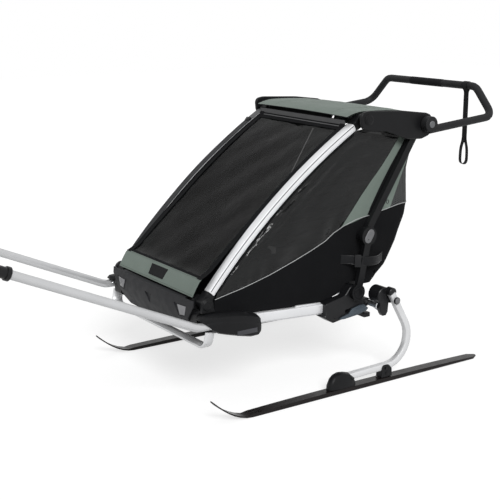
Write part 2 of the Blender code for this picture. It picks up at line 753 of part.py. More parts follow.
def make_tow_bars():
    """Tow bars: into the pod's socket, bent, then straight up and forward to an eye."""
    end_z = TOW_Z + (TOW_BEND_Y - TOW_REACH) * TOW_RISE
    start = (TOW_X, POD_FRONT + TOW_SOCKET_DEPTH, TOW_Z, 0)
    corners = [start, (TOW_X, TOW_BEND_Y, TOW_Z, TOW_BEND), (TOW_X, TOW_REACH, end_z, 0)]
    points = route(corners)
    bar = sweep(points, circle((0, 0), TOW_R, 16, math.pi / 16), (1, 0, 0), "bar", "tow_aluminium")
    tip = (TOW_REACH - 0.012, end_z + 0.012 * TOW_RISE)
    root = (TOW_REACH + 0.02, end_z - 0.02 * TOW_RISE)
    eye = prism(tangent_hull(root, 0.012, tip, 0.014), TOW_X - 0.006, TOW_X + 0.006)
    weld(bar, eye)
    hole_centre = (TOW_REACH - 0.014, end_z + 0.014 * TOW_RISE)
    cut(bar, turned([(TOW_X - 0.02, 0.0045), (TOW_X + 0.02, 0.0045)], hole_centre, 16))
    pair(bar, "tow_bar", both("chassis"))
    make_tow_sleeves(end_z)


def make_tow_sleeves(end_z):
    """Clamp sleeve round each tow bar, with a collar at its rear end."""
    slope = Vector((0, -1, TOW_RISE)).normalized()
    base = Vector((TOW_X, TOW_SLEEVE_Y, TOW_Z + (TOW_BEND_Y - TOW_SLEEVE_Y) * TOW_RISE))
    outer = circle((0, 0), TOW_R + TOW_SLEEVE_WALL, 20)
    sleeve = sweep([base, base + slope * TOW_SLEEVE_LENGTH], outer, (1, 0, 0), "sleeve", "black_plastic")
    collar = sweep([base - slope * 0.003, base + slope * 0.010], circle((0, 0), TOW_R + 0.008, 20), (1, 0, 0), "collar")
    weld(sleeve, collar)
    core = circle((0, 0), TOW_R + GAP, 16, math.pi / 16)
    cut(sleeve, sweep([base - slope * 0.02, base + slope * (TOW_SLEEVE_LENGTH + 0.02)], core, (1, 0, 0), "core"))
    pair(sleeve, "tow_sleeve", both("chassis"))


def make_bumper():
    """Front bumper: a bowed wall in front of the knuckles, narrower at the bottom, with three recesses."""
    levels = [(BUMPER_LOW, 0.68, 0.030), (0.305, 0.80, 0.022), (0.345, 0.88, 0.0035), (0.395, 1.0, 0.000),
              (BUMPER_TOP, 1.0, 0.002)]
    bumper = loft([bumper_ring(*level) for level in levels], "front_bumper", "black_plastic", 30.0)
    middle = BUMPER_HALF * 0.72
    shape = [(middle - 0.040, 0.389), (middle + 0.042, 0.392), (middle + 0.032, 0.350), (middle - 0.010, 0.344)]
    for sign in (1, -1):
        cut(bumper, bumper_recess([(sign * x, z) for x, z in shape][::sign], 0.0476))
    cut(bumper, bumper_recess([(-0.034, 0.382), (0.022, 0.382), (0.003, 0.344)], 0.0))
    single(bumper, "chassis")


def bumper_ring(z, width, lead):
    """Outline of the bumper at one height, thin where it passes in front of the knuckles."""
    shares = [-1.0, -0.8, -0.76, -0.6, -0.4, -0.2, 0.0, 0.2, 0.4, 0.6, 0.76, 0.8, 1.0]
    front = []
    back = []
    for share in shares:
        x = BUMPER_HALF * width * share
        y = BUMPER_FRONT + BUMPER_BOW * (x / BUMPER_HALF) ** 2 + lead
        front.append((x, y, z))
        back.append((x, y + (BUMPER_THICK if abs(share) < 0.78 else BUMPER_END_THICK), z))
    return front + back[::-1]


def bumper_recess(shape, slope):
    """Cutter for a recess in the bumper's front, its floor turned back by slope towards the ends."""
    front = [(x, BUMPER_FRONT - 0.030, z) for x, z in shape]
    floor = [(x, BUMPER_FRONT + 0.006 + slope * max(abs(x) - 0.140, 0.0), z) for x, z in shape]
    return loft([front, floor], "recess")


def make_tub():
    """Floor tub: a footwell in front and a seat shelf behind, open at the top."""
    outer = [(0.040, 0.402), (0.064, 0.272), (0.430, 0.262), (0.500, 0.315), (0.790, 0.330), (0.800, 0.372)]
    wall = TUB_WALL
    inner = [(0.032 + wall, 0.450), (0.064 + wall, 0.272 + wall), (0.430 - wall / 2, 0.262 + wall),
             (0.500 - wall / 2, 0.315 + wall), (0.790 - wall, 0.330 + wall), (0.800 - wall, 0.420)]
    tub = prism(outer, -TUB_HALF, TUB_HALF, "floor_tub", "black_plastic")
    cut(tub, prism(inner, -TUB_HALF + wall, TUB_HALF - wall))
    reach = UPRIGHT_OUTER_X - RAIL_WIDTH - GAP
    for sign in (1, -1):
        flange = rounded_box((min(sign * (TUB_HALF - 0.003), sign * reach), 0.110, 0.3035),
                             (max(sign * (TUB_HALF - 0.003), sign * reach), 0.415, 0.3075), 0.0)
        weld(tub, flange)
    single(tub, "chassis")


# Seat

def cushion(frame, half_width, length, thick, channels, name):
    """Cushion with a crown, drawn-in edges and channels, lying in a frame (4 by 4 matrix)."""
    across = 20
    along = 10
    bm = bmesh.new()
    top = []
    bottom = []
    for i in range(along + 1):
        v = 2 * i / along - 1
        top.append([])
        bottom.append([])
        for j in range(across + 1):
            u = 2 * j / across - 1
            fill = max(0.0, (1 - abs(u) ** 9) * (1 - abs(v) ** 7)) ** 0.5
            dip = sum(math.exp(-((u - c) * half_width / 0.011) ** 2) for c in channels)
            ribs = 0.06 * math.cos(3 * math.pi * v) * (1 - abs(u) ** 4)
            draw = 1 - 0.012 * math.cos(math.pi * v / 2)
            x = half_width * u * draw
            y = length * (v + 1) / 2
            rise = thick * fill * (0.80 + 0.14 * (1 - u * u) + ribs - 0.34 * dip)
            top[-1].append(bm.verts.new(frame @ Vector((x, y, rise))))
            if 0 < i < along and 0 < j < across:
                bottom[-1].append(bm.verts.new(frame @ Vector((x, y, 0.0))))
            else:
                bottom[-1].append(top[-1][-1])
    for i in range(along):
        for j in range(across):
            bm.faces.new((top[i][j], top[i][j + 1], top[i + 1][j + 1], top[i + 1][j]))
            bm.faces.new((bottom[i][j], bottom[i + 1][j], bottom[i + 1][j + 1], bottom[i][j + 1]))
    return add_object(name, bm, "seat_cloth", 60.0)


def make_seat():
    """Seat cushion for two and a leaning backrest."""
    channels = (-0.02, 0.02)
    low = Matrix.Translation((0, SEAT_FRONT, SEAT_Z)) @ Matrix.Rotation(math.radians(1.5), 4, "X")
    single(cushion(low, SEAT_HALF, SEAT_LENGTH, SEAT_THICK, channels, "seat_cushion"), "chassis")
    lean = math.atan2(BACK_TOP[1] - BACK_LOW[1], BACK_TOP[0] - BACK_LOW[0])
    high = Matrix.Translation((0, *BACK_LOW)) @ Matrix.Rotation(lean, 4, "X")
    length = (Vector(BACK_TOP) - Vector(BACK_LOW)).length
    single(cushion(high, BACK_HALF, length, BACK_THICK, channels, "backrest"), "chassis")


# Ski kit

def make_hubs():
    """Axle hubs: a barrel, an arm down to the axle, a cap on the leg's end and a pin through the leg with the knob."""
    arm_x = HUB_OUTER_X - HUB_ARM_THICK
    leg_face = SKI_X - LEG_SIZE / 2
    hub = turned([(HUB_INNER_X, HUB_R - 0.003), (HUB_INNER_X + 0.003, HUB_R), (HUB_OUTER_X - 0.003, HUB_R),
                  (HUB_OUTER_X, HUB_R - 0.003)], HUB, 20, "hub", "black_plastic")
    weld(hub, prism(tangent_hull(HUB, 0.026, KNOB, 0.016, 3), HUB_INNER_X + 0.030, HUB_OUTER_X - 0.0005))
    weld(hub, prism(tangent_hull(HUB, 0.024, HUB_LOBE, HUB_LOBE_R, 3), arm_x, HUB_OUTER_X - 0.001))
    weld(hub, prism(tangent_hull(AXLE, AXLE_R + 0.006, HUB_LOBE, HUB_LOBE_R - 0.002, 3), arm_x + 0.001, HUB_OUTER_X - 0.002))
    cut(hub, turned([(arm_x - 0.01, AXLE_R + PIN_PLAY), (HUB_OUTER_X - AXLE_CAP + GAP, AXLE_R + PIN_PLAY)], AXLE, 16))
    cut(hub, turned([(HUB_INNER_X - 0.01, AXLE_CONE_R + PIN_PLAY), (arm_x, AXLE_CONE_R + PIN_PLAY)], AXLE, 16))
    cap = turned([(HUB_OUTER_X - 0.004, HUB_CAP_R), (SKI_X + LEG_SIZE / 2 - 0.007, HUB_CAP_R),
                  (SKI_X + LEG_SIZE / 2 - 0.004, HUB_CAP_R - 0.003)], HUB_CAP, 16)
    cut(cap, sweep(leg_path(LEG_END[0]), leg_section(GAP), (1, 0, 0), "socket"))
    weld(hub, cap)
    outer = SKI_X + LEG_SIZE / 2 + GAP
    weld(hub, turned([(HUB_OUTER_X - 0.003, KNOB_PIN_R), (outer + 0.0005, KNOB_PIN_R)], KNOB, 12))
    weld(hub, turned([(HUB_OUTER_X - 0.003, KNOB_PIN_R + 0.006), (leg_face - GAP, KNOB_PIN_R + 0.006)], KNOB, 12))
    weld(hub, turned([(outer, KNOB_R + 0.0025), (outer + KNOB_DEPTH - 0.001, KNOB_R + 0.0025),
                      (outer + KNOB_DEPTH, KNOB_R + 0.0015)], KNOB, 16))
    floor = outer + KNOB_FLOOR
    cut(hub, turned([(floor, KNOB_R + PIN_PLAY), (outer + KNOB_DEPTH + 0.01, KNOB_R + PIN_PLAY)], KNOB, 16))
    pair(hub, "axle_hub", both("chassis"))
    face = outer + KNOB_DEPTH + KNOB_REACH
    knob = turned([(floor + KNOB_TRAVEL + GAP, KNOB_R), (face - 0.002, KNOB_R), (face - 0.0005, KNOB_R - 0.002),
                   (face, KNOB_R - 0.006)], KNOB, 16, "knob", "grey_plastic")
    pair(knob, "axle_button", ("axle_button_left", "axle_button_right"))


def leg_section(extra=0.0):
    """Rounded square section of the ski leg."""
    a = LEG_SIZE / 2 + extra
    r = LEG_ROUND + extra
    return fillet([(-a, -a, r), (a, -a, r), (a, a, r), (-a, a, r)], 45.0)


def leg_path(end_y):
    """Centre line of the ski leg, from the hub down, round and forward to end_y."""
    rise = (LEG_CORNER[1] - LEG_END[1]) / (LEG_CORNER[0] - LEG_END[0])
    end_z = LEG_END[1] + (end_y - LEG_END[0]) * rise
    corners = [(SKI_X, *LEG_TOP, 0), (SKI_X, *LEG_CORNER, LEG_BEND), (SKI_X, end_y, end_z, 0)]
    return route(corners, 12.0)


def make_legs():
    """Bent aluminium legs that join the hubs to the skis."""
    leg = sweep(leg_path(LEG_END[0]), leg_section(), (1, 0, 0), "leg", "aluminium", 30.0)
    reach = LEG_SIZE / 2 + 0.01
    cut(leg, turned([(SKI_X - reach, KNOB_PIN_R + PIN_PLAY), (SKI_X + reach, KNOB_PIN_R + PIN_PLAY)], KNOB, 12))
    pair(leg, "ski_leg", both("chassis"))


def ski_top(y):
    """Height of a ski's top face along its length."""
    middle = 1 - abs((y - 0.62) / 0.72) ** 2.2
    return SKI_THIN + (SKI_THICK - SKI_THIN) * max(0.0, min(1.0, middle))


def make_skis():
    """Skis: flat soles, thicker under the boots, with upturned tips."""
    stations = [SKI_TIP[0], SKI_TIP[0] + 0.006, SKI_TIP[0] + 0.020, 0.010, 0.032, 0.055, 0.080, 0.108, SKI_BEND_START]
    stations += [SKI_BEND_START + (SKI_TAIL - 0.03 - SKI_BEND_START) * k / 12 for k in range(1, 13)]
    stations += [SKI_TAIL - 0.012, SKI_TAIL]
    rings = []
    for y in stations:
        lead = max(0.0, (SKI_BEND_START - y) / (SKI_BEND_START - SKI_TIP[0]))
        sole = (SKI_TIP[1] - SKI_THIN) * lead ** 1.9
        taper = min(1.0, 0.30 + 0.70 * max(0.0, (y - SKI_TIP[0]) / 0.028) ** 0.6)
        tail = min(1.0, 0.30 + 0.70 * (SKI_TAIL - y) / 0.03)
        half = SKI_WIDTH / 2 * min(taper, tail)
        top = sole + (ski_top(y) if lead == 0 else SKI_THIN)
        edge = min(0.003, (top - sole) * 0.4)
        shape = [(-half + 0.002, sole), (half - 0.002, sole), (half, sole + edge), (half - 0.003, top),
                 (-half + 0.003, top), (-half, sole + edge)]
        rings.append([(SKI_X + a, y, z) for a, z in shape])
    pair(loft(rings, "ski", "ski_base", 30.0), "ski", both("chassis"))


def make_boots():
    """Toe boot and heel clamp that fasten the leg to the ski."""
    rings = []
    stations = ((-0.122, 0.008, 0.029), (-0.117, 0.013, 0.046), (-0.106, 0.0175, 0.0625), (-0.090, 0.0200, 0.0735),
                (-0.068, 0.0215, 0.0790), (-0.046, 0.0215, 0.0760), (-0.024, 0.0210, 0.0700), (-0.010, 0.0200, 0.0580),
                (0.0, 0.0190, 0.0420))
    for back, half, top in stations:
        y = BOOT_REAR + back
        foot = SKI_THICK + 0.0012
        shape = [(-half, foot), (half, foot), (half, foot + (top - foot) * 0.62), (half * 0.72, top - 0.004),
                 (half * 0.3, top), (-half * 0.3, top), (-half * 0.72, top - 0.004), (-half, foot + (top - foot) * 0.62)]
        rings.append([(SKI_X + a, y, z) for a, z in shape])
    boot = loft(rings, "boot", "black_plastic", 30.0)
    cut(boot, sweep(leg_path(LEG_END[0] - GAP), leg_section(GAP), (1, 0, 0), "socket"))
    pair(boot, "ski_toe_boot", both("chassis"))
    foot = SKI_THICK + 0.0012
    outline = fillet([(CLAMP_FRONT, foot, 0.0), (CLAMP_REAR, foot, 0.0), (CLAMP_REAR - 0.001, 0.050, 0.008),
                      (CLAMP_REAR - 0.018, 0.069, 0.014), (CLAMP_FRONT + 0.003, 0.069, 0.012)], 30.0)
    clamp = prism(outline, SKI_X - LEG_SIZE / 2 - 0.0035, SKI_X + LEG_SIZE / 2 + 0.0035, "clamp", "black_plastic")
    bevel(clamp, 0.0015)
    cut(clamp, sweep(leg_path(LEG_END[0]), leg_section(GAP), (1, 0, 0), "socket"))
    middle = ((CLAMP_FRONT + CLAMP_REAR) / 2, 0.034)
    weld(clamp, turned([(SKI_X + LEG_SIZE / 2 + 0.002, 0.007), (SKI_X + LEG_SIZE / 2 + 0.0065, 0.007)], middle, 6))
    pair(clamp, "ski_heel_clamp", both("chassis"))


# Rear legs and top brackets

def make_posts():
    """Rear posts: flat bars from the top brackets down to the knuckles."""
    post = prism(tangent_hull(POST_PIVOT, POST_DEPTH / 2, KNUCKLE, POST_DEPTH / 2), POST_X0, POST_X1, "post", "black_plastic")
    top_eye = prism(circle(POST_PIVOT, 0.022, 18), POST_X0, POST_X1)
    low_eye = prism(circle(KNUCKLE, 0.030, 20), POST_X0, POST_X1)
    weld(post, top_eye, low_eye)
    bevel(post, 0.003)
    cut(post, turned([(POST_X0 - 0.01, PIN_R + PIN_PLAY), (POST_X1 + 0.01, PIN_R + PIN_PLAY)], POST_PIVOT, 20))
    pair(post, "rear_post", both("rear_posts"))


def make_struts():
    """Lower struts: flat bars from the rear brackets up to the knuckles, with an oval button."""
    strut = prism(tangent_hull(KNUCKLE, STRUT_DEPTH / 2, STRUT_PIVOT, STRUT_DEPTH / 2), STRUT_X0, STRUT_X1, "strut",
                  "black_plastic")
    weld(strut, prism(circle(KNUCKLE, KNUCKLE_R, 24), STRUT_X0, STRUT_X1))
    weld(strut, prism(circle(STRUT_PIVOT, STRUT_FOOT_R, 20), STRUT_X0, STRUT_X1))
    bevel(strut, 0.003)
    cut(strut, prism(lens_outline(PIN_PLAY), STRUT_X1 - LENS_RECESS, STRUT_X1 + 0.01))
    cut(strut, turned([(STRUT_X0 - 0.01, PIN_R + PIN_PLAY), (STRUT_X1 - 0.0035, PIN_R + PIN_PLAY)], STRUT_PIVOT, 20))
    pair(strut, "lower_strut", both("lower_struts"))
    lens = prism(lens_outline(0.0), STRUT_X1 - LENS_RECESS + 0.0045, STRUT_X1 + 0.003, "lens", "grey_plastic")
    bevel(lens, 0.0015)
    pair(lens, "knuckle_button", ("knuckle_button_left", "knuckle_button_right"))


def lens_outline(extra):
    """Oval of the knuckle button, along the post."""
    along = (Vector(POST_PIVOT) - Vector(KNUCKLE)).normalized() * LENS_REACH
    middle = Vector(KNUCKLE)
    return tangent_hull(middle - along, LENS_R + extra, middle + along, LENS_R + extra, 5)


def make_top_brackets():
    """Top brackets: an inner beam, a slot for the rear post and an outer cover, joined behind the post."""
    py, pz = TOP_PIVOT
    hy, hz = HANDLE_PIVOT
    head_inner = UPRIGHT_OUTER_X - UPRIGHT_WIDTH - SIDE_PLAY
    outline = fillet([(py - 0.034, pz - 0.034, 0.026), (py - 0.040, pz + 0.026, 0.028), (py - 0.001, pz + 0.033, 0.05),
                      (py + 0.174, pz + 0.024, 0.2), (hy + 0.022, hz + 0.040, 0.05), (hy + 0.046, hz + 0.005, 0.04),
                      (hy + 0.026, hz - 0.045, 0.03), (hy - 0.020, hz - 0.059, 0.03), (hy - 0.090, hz - 0.055, 0.05),
                      (py + 0.092, pz - 0.051, 0.06), (py + 0.006, pz - 0.043, 0.03)], 25.0)
    bracket = prism(outline, COVER_X0, COVER_X1, "bracket", "black_plastic")
    bevel(bracket, 0.003)
    beam = fillet([(py + 0.034, pz - 0.038, 0.010), (py + 0.034, pz + 0.018, 0.010), (py + 0.174, pz + 0.016, 0.1),
                   (hy + 0.014, hz + 0.014, 0.03), (hy + 0.038, hz + 0.004, 0.03), (hy + 0.020, hz - 0.040, 0.02),
                   (hy - 0.020, hz - 0.053, 0.02), (hy - 0.090, hz - 0.049, 0.04), (py + 0.092, pz - 0.045, 0.05)], 25.0)
    bridge = [(hy - 0.005, hz - 0.040), (hy - 0.005, hz + 0.016), (hy + 0.012, hz + 0.013), (hy + 0.034, hz + 0.000),
              (hy + 0.020, hz - 0.036)]
    cheek = tangent_hull(TOP_PIVOT, 0.0215, (py + 0.070, pz - 0.010), 0.025)
    weld(bracket, prism(bridge, UPRIGHT_OUTER_X - 0.003, COVER_X0 + 0.003))
    weld(bracket, prism(beam, BRACKET_INNER_X, UPRIGHT_OUTER_X))
    weld(bracket, prism(cheek, BRACKET_INNER_X + 0.0005, head_inner))
    weld(bracket, turned([(head_inner - 0.004, PIN_R), (UPRIGHT_OUTER_X - 0.0005, PIN_R)], TOP_PIVOT, 16))
    weld(bracket, turned([(UPRIGHT_OUTER_X - 0.004, PIN_R), (COVER_X0 + 0.004, PIN_R)], POST_PIVOT, 16))
    weld(bracket, turned([(COVER_X1 - 0.002, 0.021), (COVER_X1 + 0.002, 0.021), (COVER_X1 + 0.0035, 0.018)], TOP_PIVOT, 24))
    cut(bracket, turned([(COVER_X0 + 0.004, SPIGOT_R + PIN_PLAY), (COVER_X1 + 0.01, SPIGOT_R + PIN_PLAY)], HANDLE_PIVOT, 20))
    pair(bracket, "top_bracket", both("top_frame"))


def make_rear_cross_tube():
    """Tube between the top brackets, at the handlebar's height."""
    reach = BRACKET_INNER_X - GAP
    centre = (HANDLE_PIVOT[0] + 0.002, HANDLE_PIVOT[1] - 0.004)
    single(turned([(-reach, CROSS_TUBE_R), (reach, CROSS_TUBE_R)], centre, 16, "rear_cross_tube", "dark_steel"), "top_frame")


# Handlebar

def make_handlebar():
    """Handlebar: arms, slanted corners and a crossbar in one tube, with a joint barrel on each arm."""
    y, z = HANDLE_PIVOT
    x = (BARREL_X0 + BARREL_X1) / 2
    left = [(x, y + 0.005, z - HANDLE_DROP, 0), (*HANDLE_LOW, HANDLE_LOW_BEND), (*HANDLE_TOP, HANDLE_TOP_BEND)]
    corners = left + [(-a, b, c, r) for a, b, c, r in reversed(left)]
    bar = sweep(route(corners, 20.0), circle((0, 0), HANDLE_R, 12), (0, 0, 1), "handlebar", "foam_grip")
    for sign in (1, -1):
        barrel = turned([(sign * BARREL_X0, BARREL_R - 0.002), (sign * (BARREL_X0 + 0.002), BARREL_R),
                         (sign * (BARREL_X1 - 0.002), BARREL_R), (sign * BARREL_X1, BARREL_R - 0.002)], HANDLE_PIVOT, 20)
        spigot = turned([(sign * (COVER_X0 + 0.005), SPIGOT_R), (sign * (BARREL_X0 + 0.002), SPIGOT_R)], HANDLE_PIVOT, 16)
        weld(bar, barrel, spigot)
        recess = HANDLE_BUTTON_R + PIN_PLAY
        cut(bar, turned([(sign * (BARREL_X1 - 0.008), recess), (sign * (BARREL_X1 + 0.01), recess)], HANDLE_PIVOT, 16))
    single(bar, "handlebar")
    button = turned([(BARREL_X1 - 0.0045, HANDLE_BUTTON_R), (BARREL_X1 + 0.0015, HANDLE_BUTTON_R),
                     (BARREL_X1 + 0.003, HANDLE_BUTTON_R - 0.002)], HANDLE_PIVOT, 20, "button", "grey_plastic")
    pair(button, "handlebar_button", ("handlebar_button_left", "handlebar_button_right"))


def make_wrist_strap():
    """Wrist strap: webbing looped over the crossbar, hanging down to a hand loop."""
    y = HANDLE_TOP[1]
    z = HANDLE_TOP[2]
    hole = HANDLE_R + 0.0006
    thick = STRAP_THICK
    x0 = STRAP_X - STRAP_WIDTH / 2
    x1 = STRAP_X + STRAP_WIDTH / 2
    drop = z - STRAP_LENGTH
    outer = fillet([(y + thick, z - 0.014, 0.0), (y + thick, drop + 0.115, 0.030), (y + STRAP_LOOP, drop + 0.070, 0.040),
                    (y + STRAP_LOOP, drop, 0.012), (y - STRAP_LOOP, drop, 0.012), (y - STRAP_LOOP, drop + 0.070, 0.040),
                    (y - thick, drop + 0.115, 0.030), (y - thick, z - 0.014, 0.0)], 22.5)
    inner = fillet([(y, drop + 0.108, 0.0), (y + STRAP_LOOP - thick, drop + 0.067, 0.038),
                    (y + STRAP_LOOP - thick, drop + thick, 0.010), (y - STRAP_LOOP + thick, drop + thick, 0.010),
                    (y - STRAP_LOOP + thick, drop + 0.067, 0.038)], 22.5)
    strap = prism(outer, x0, x1, "wrist_strap", "black_cloth")
    weld(strap, turned([(x0, hole + thick), (x1, hole + thick)], (y, z), 20))
    cut(strap, turned([(x0 - 0.01, hole), (x1 + 0.01, hole)], (y, z), 20))
    cut(strap, prism(inner, x0 - 0.01, x1 + 0.01))
    single(strap, "strap")


# Brake

def make_brake_pedal():
    """Parking brake pedal on a pin inside the left rear bracket."""
    y, z = PEDAL_PIVOT
    outer = UPRIGHT_OUTER_X - RAIL_WIDTH - 0.004 - SIDE_PLAY
    inner = outer - 0.013
    pedal = prism(tangent_hull(PEDAL_PIVOT, 0.0105, (y + 0.036, z - 0.022), 0.007), inner, outer, "brake_pedal",
                  "black_plastic")
    weld(pedal, prism(tangent_hull((y + 0.036, z - 0.022), 0.0065, (y + 0.080, z - 0.046), 0.0065), inner + 0.001, outer))
    weld(pedal, rounded_box((inner - 0.003, y + 0.062, z - 0.059), (PEDAL_PAD_X, y + 0.094, z - 0.039), 0.004))
    cut(pedal, turned([(inner - 0.01, PEDAL_PIN_R + PIN_PLAY), (outer + 0.01, PEDAL_PIN_R + PIN_PLAY)], PEDAL_PIVOT, 16))
    single(pedal, "brake_pedal")


# Cabin cloth

def rear_edge(z):
    """Length position of the side panel's rear edge at a height."""
    marks = [(0.300, 0.728), (0.387, 0.734), (0.470, 0.744), (0.567, 0.765), (0.700, 0.850), (0.925, 0.992), (1.2, 1.1)]
    for (z0, y0), (z1, y1) in zip(marks, marks[1:]):
        if z <= z1:
            return y0 + (y1 - y0) * (z - z0) / (z1 - z0)
    return marks[-1][1]


def side_low(y):
    """Height of the side panel's lower edge: along the rail, then over the rear bracket."""
    marks = [(0.0, 0.3475), (0.550, 0.3190), (0.600, 0.3285), (0.640, 0.3370), (0.656, 0.344), (0.691, 0.3785),
             (1.2, 0.385)]
    for (y0, z0), (y1, z1) in zip(marks, marks[1:]):
        if y <= y1:
            return z0 + (z1 - z0) * (y - y0) / (y1 - y0)
    return marks[-1][1]


def make_side_panels():
    """Side panels: bulged sheets from the rail up to the upright and the top bracket."""
    rows = []
    steps = 14
    rises = 8
    for i in range(rises + 1):
        v = i / rises
        row = []
        for j in range(steps + 1):
            u = j / steps
            if u < 0.82:
                high = upright_arc(0.055 + 0.93 * u / 0.82, -UPRIGHT_DEPTH / 2 - 0.004)
            else:
                high = upright_arc(0.985, -UPRIGHT_DEPTH / 2 - 0.004).lerp(Vector((0.978, 0.921)), (u - 0.82) / 0.18)
            low_y = 0.090 + (0.734 - 0.090) * u
            low = Vector((low_y, side_low(low_y)))
            point = low.lerp(high, v)
            point.x -= u ** 3 * (0.734 + 0.244 * v - rear_edge(0.387 + 0.534 * v))
            bow = SIDE_BULGE * math.sin(math.pi * v) ** 0.8 * math.sin(math.pi * u) ** 0.5
            fold = 0.0016 * math.sin(9.0 * u + 14.0 * v * v) * math.sin(math.pi * v)
            row.append(Vector((SIDE_X + bow + fold, point.x, point.y)))
        rows.append(row)
    panel = sheet(rows, CLOTH, "panel", "black_cloth")
    pair(panel, "side_panel", both("chassis"))


def back_reach(z):
    """Length position of the back panel's rear face at a height."""
    marks = [(0.300, 0.800), (0.358, 0.830), (0.374, 0.858), (0.397, 0.891), (0.424, 0.926), (0.472, 0.954), (0.567, 1.003), (0.619, 1.022),
             (0.668, 1.030), (0.812, 1.026), (0.8645, 1.030), (0.930, 1.040), (1.2, 1.05)]
    for (z0, y0), (z1, y1) in zip(marks, marks[1:]):
        if z <= z1:
            return y0 + (y1 - y0) * (z - z0) / (z1 - z0)
    return marks[-1][1]


def make_back_panel():
    """Back panel: wraps from one side edge round the rear to the other, with a bag below."""
    rows = []
    heights = [0.358, 0.374] + [0.392 + (0.912 - 0.392) * i / 9 for i in range(10)]
    for z in heights:
        front = rear_edge(z) + 0.010
        if z < 0.390:
            front = 0.786
        rear = back_reach(z)
        half = BACK_PANEL_HALF
        corner = min(0.050, (rear - front) * 0.5)
        outline = [(half, front), (half + 0.002, front + (rear - corner - front) * 0.5)]
        for k in range(5):
            angle = math.pi / 2 * k / 4
            outline.append((half - corner * 1.2 * (1 - math.cos(angle)), rear - corner + corner * math.sin(angle)))
        outline.append((half * 0.30, rear + 0.004))
        left = [Vector((x, y, z)) for x, y in outline]
        right = [Vector((-x, y, z)) for x, y in reversed(outline)]
        rows.append(left + [Vector((0, rear + 0.006, z))] + right)
    single(sheet(rows, CLOTH, "back_panel", "black_cloth"), "chassis")


def make_roof():
    """Canopy roof: crowned sheet between the top brackets that turns down at the rear."""
    rows = []
    profile = [(0.684, 1.027), (0.715, 1.037), (0.750, 1.0430), (0.810, 1.0430), (0.880, 1.0405), (0.950, 1.0355),
               (1.015, 1.0255), (1.060, 1.009), (1.078, 0.987), (1.074, 0.960), (1.062, 0.932)]
    for y, z in profile:
        half = ROOF_HALF if y < 1.03 and z > 1.0 else ROOF_REAR_HALF
        row = []
        for k in range(11):
            u = 2 * k / 10 - 1
            row.append(Vector((half * u, y, z + 0.003 * (1 - u * u))))
        rows.append(row)
    single(sheet(rows, CLOTH, "canopy_roof", "green_cloth"), "top_frame")


PIVOTS = {
    "front_frame": FRONT_PIVOT,
    "top_frame": TOP_PIVOT,
    "rear_posts": POST_PIVOT,
    "lower_struts": STRUT_PIVOT,
    "handlebar": HANDLE_PIVOT,
    "strap": (HANDLE_TOP[1], HANDLE_TOP[2]),
    "brake_pedal": PEDAL_PIVOT,
}


def middle_of(item):
    """Middle of an object's box."""
    corners = [Vector(corner) for corner in item.bound_box]
    return (corners[0] + corners[6]) / 2


def place_origins():
    """Puts each moving piece's origin on its joint's axis, and any other origin at its middle."""
    for item, body in BODY_OF.items():
        spot = middle_of(item)
        if body in PIVOTS:
            spot.y, spot.z = PIVOTS[body]
        item.data.transform(Matrix.Translation(-spot))
        item.location = spot


def hang_on_frames():
    """Parents each body's pieces to an empty on its pivot, and centres the length on the origin."""
    bpy.context.view_layer.update()
    reach = [item.location.y + corner[1] for item in BODY_OF for corner in item.bound_box]
    shift = Vector((0, -(min(reach) + max(reach)) / 2, 0))
    frames = {}
    for item, body in BODY_OF.items():
        if body not in frames:
            frame = bpy.data.objects.new("frame_" + body, None)
            frame.empty_display_size = 0.05
            y, z = PIVOTS.get(body, (0.0, 0.0))
            frame.location = Vector((0, y, z)) + shift
            bpy.context.scene.collection.objects.link(frame)
            frames[body] = frame
        item.parent = frames[body]
        item.location = item.location + shift - frames[body].location


def main():
    """Builds every piece of the trailer."""
    for item in list(bpy.data.objects):
        bpy.data.objects.remove(item, do_unlink=True)
    make_uprights()
    make_top_cross_tube()
    make_front_cover()
    make_rails()
    make_front_knuckles()
    make_rear_brackets()
    make_axle()
    make_front_crossbar()
    make_pods()
    make_tow_bars()
    make_bumper()
    make_tub()
    make_seat()
    make_hubs()
    make_legs()
    make_skis()
    make_boots()
    make_posts()
    make_struts()
    make_top_brackets()
    make_rear_cross_tube()
    make_handlebar()
    make_wrist_strap()
    make_brake_pedal()
    make_side_panels()
    make_back_panel()
    make_roof()
    place_origins()
    hang_on_frames()


main()
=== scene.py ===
"""Looks of the two-seat child trailer cabin on its ski kit.

Metres, +Z up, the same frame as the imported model. Lengths are written from the lower edge of the
front cover, as in the model's source, and moved by SHIFT into the model's frame.
"""
import json
import math

import bmesh
import bpy
from mathutils import Matrix, Vector

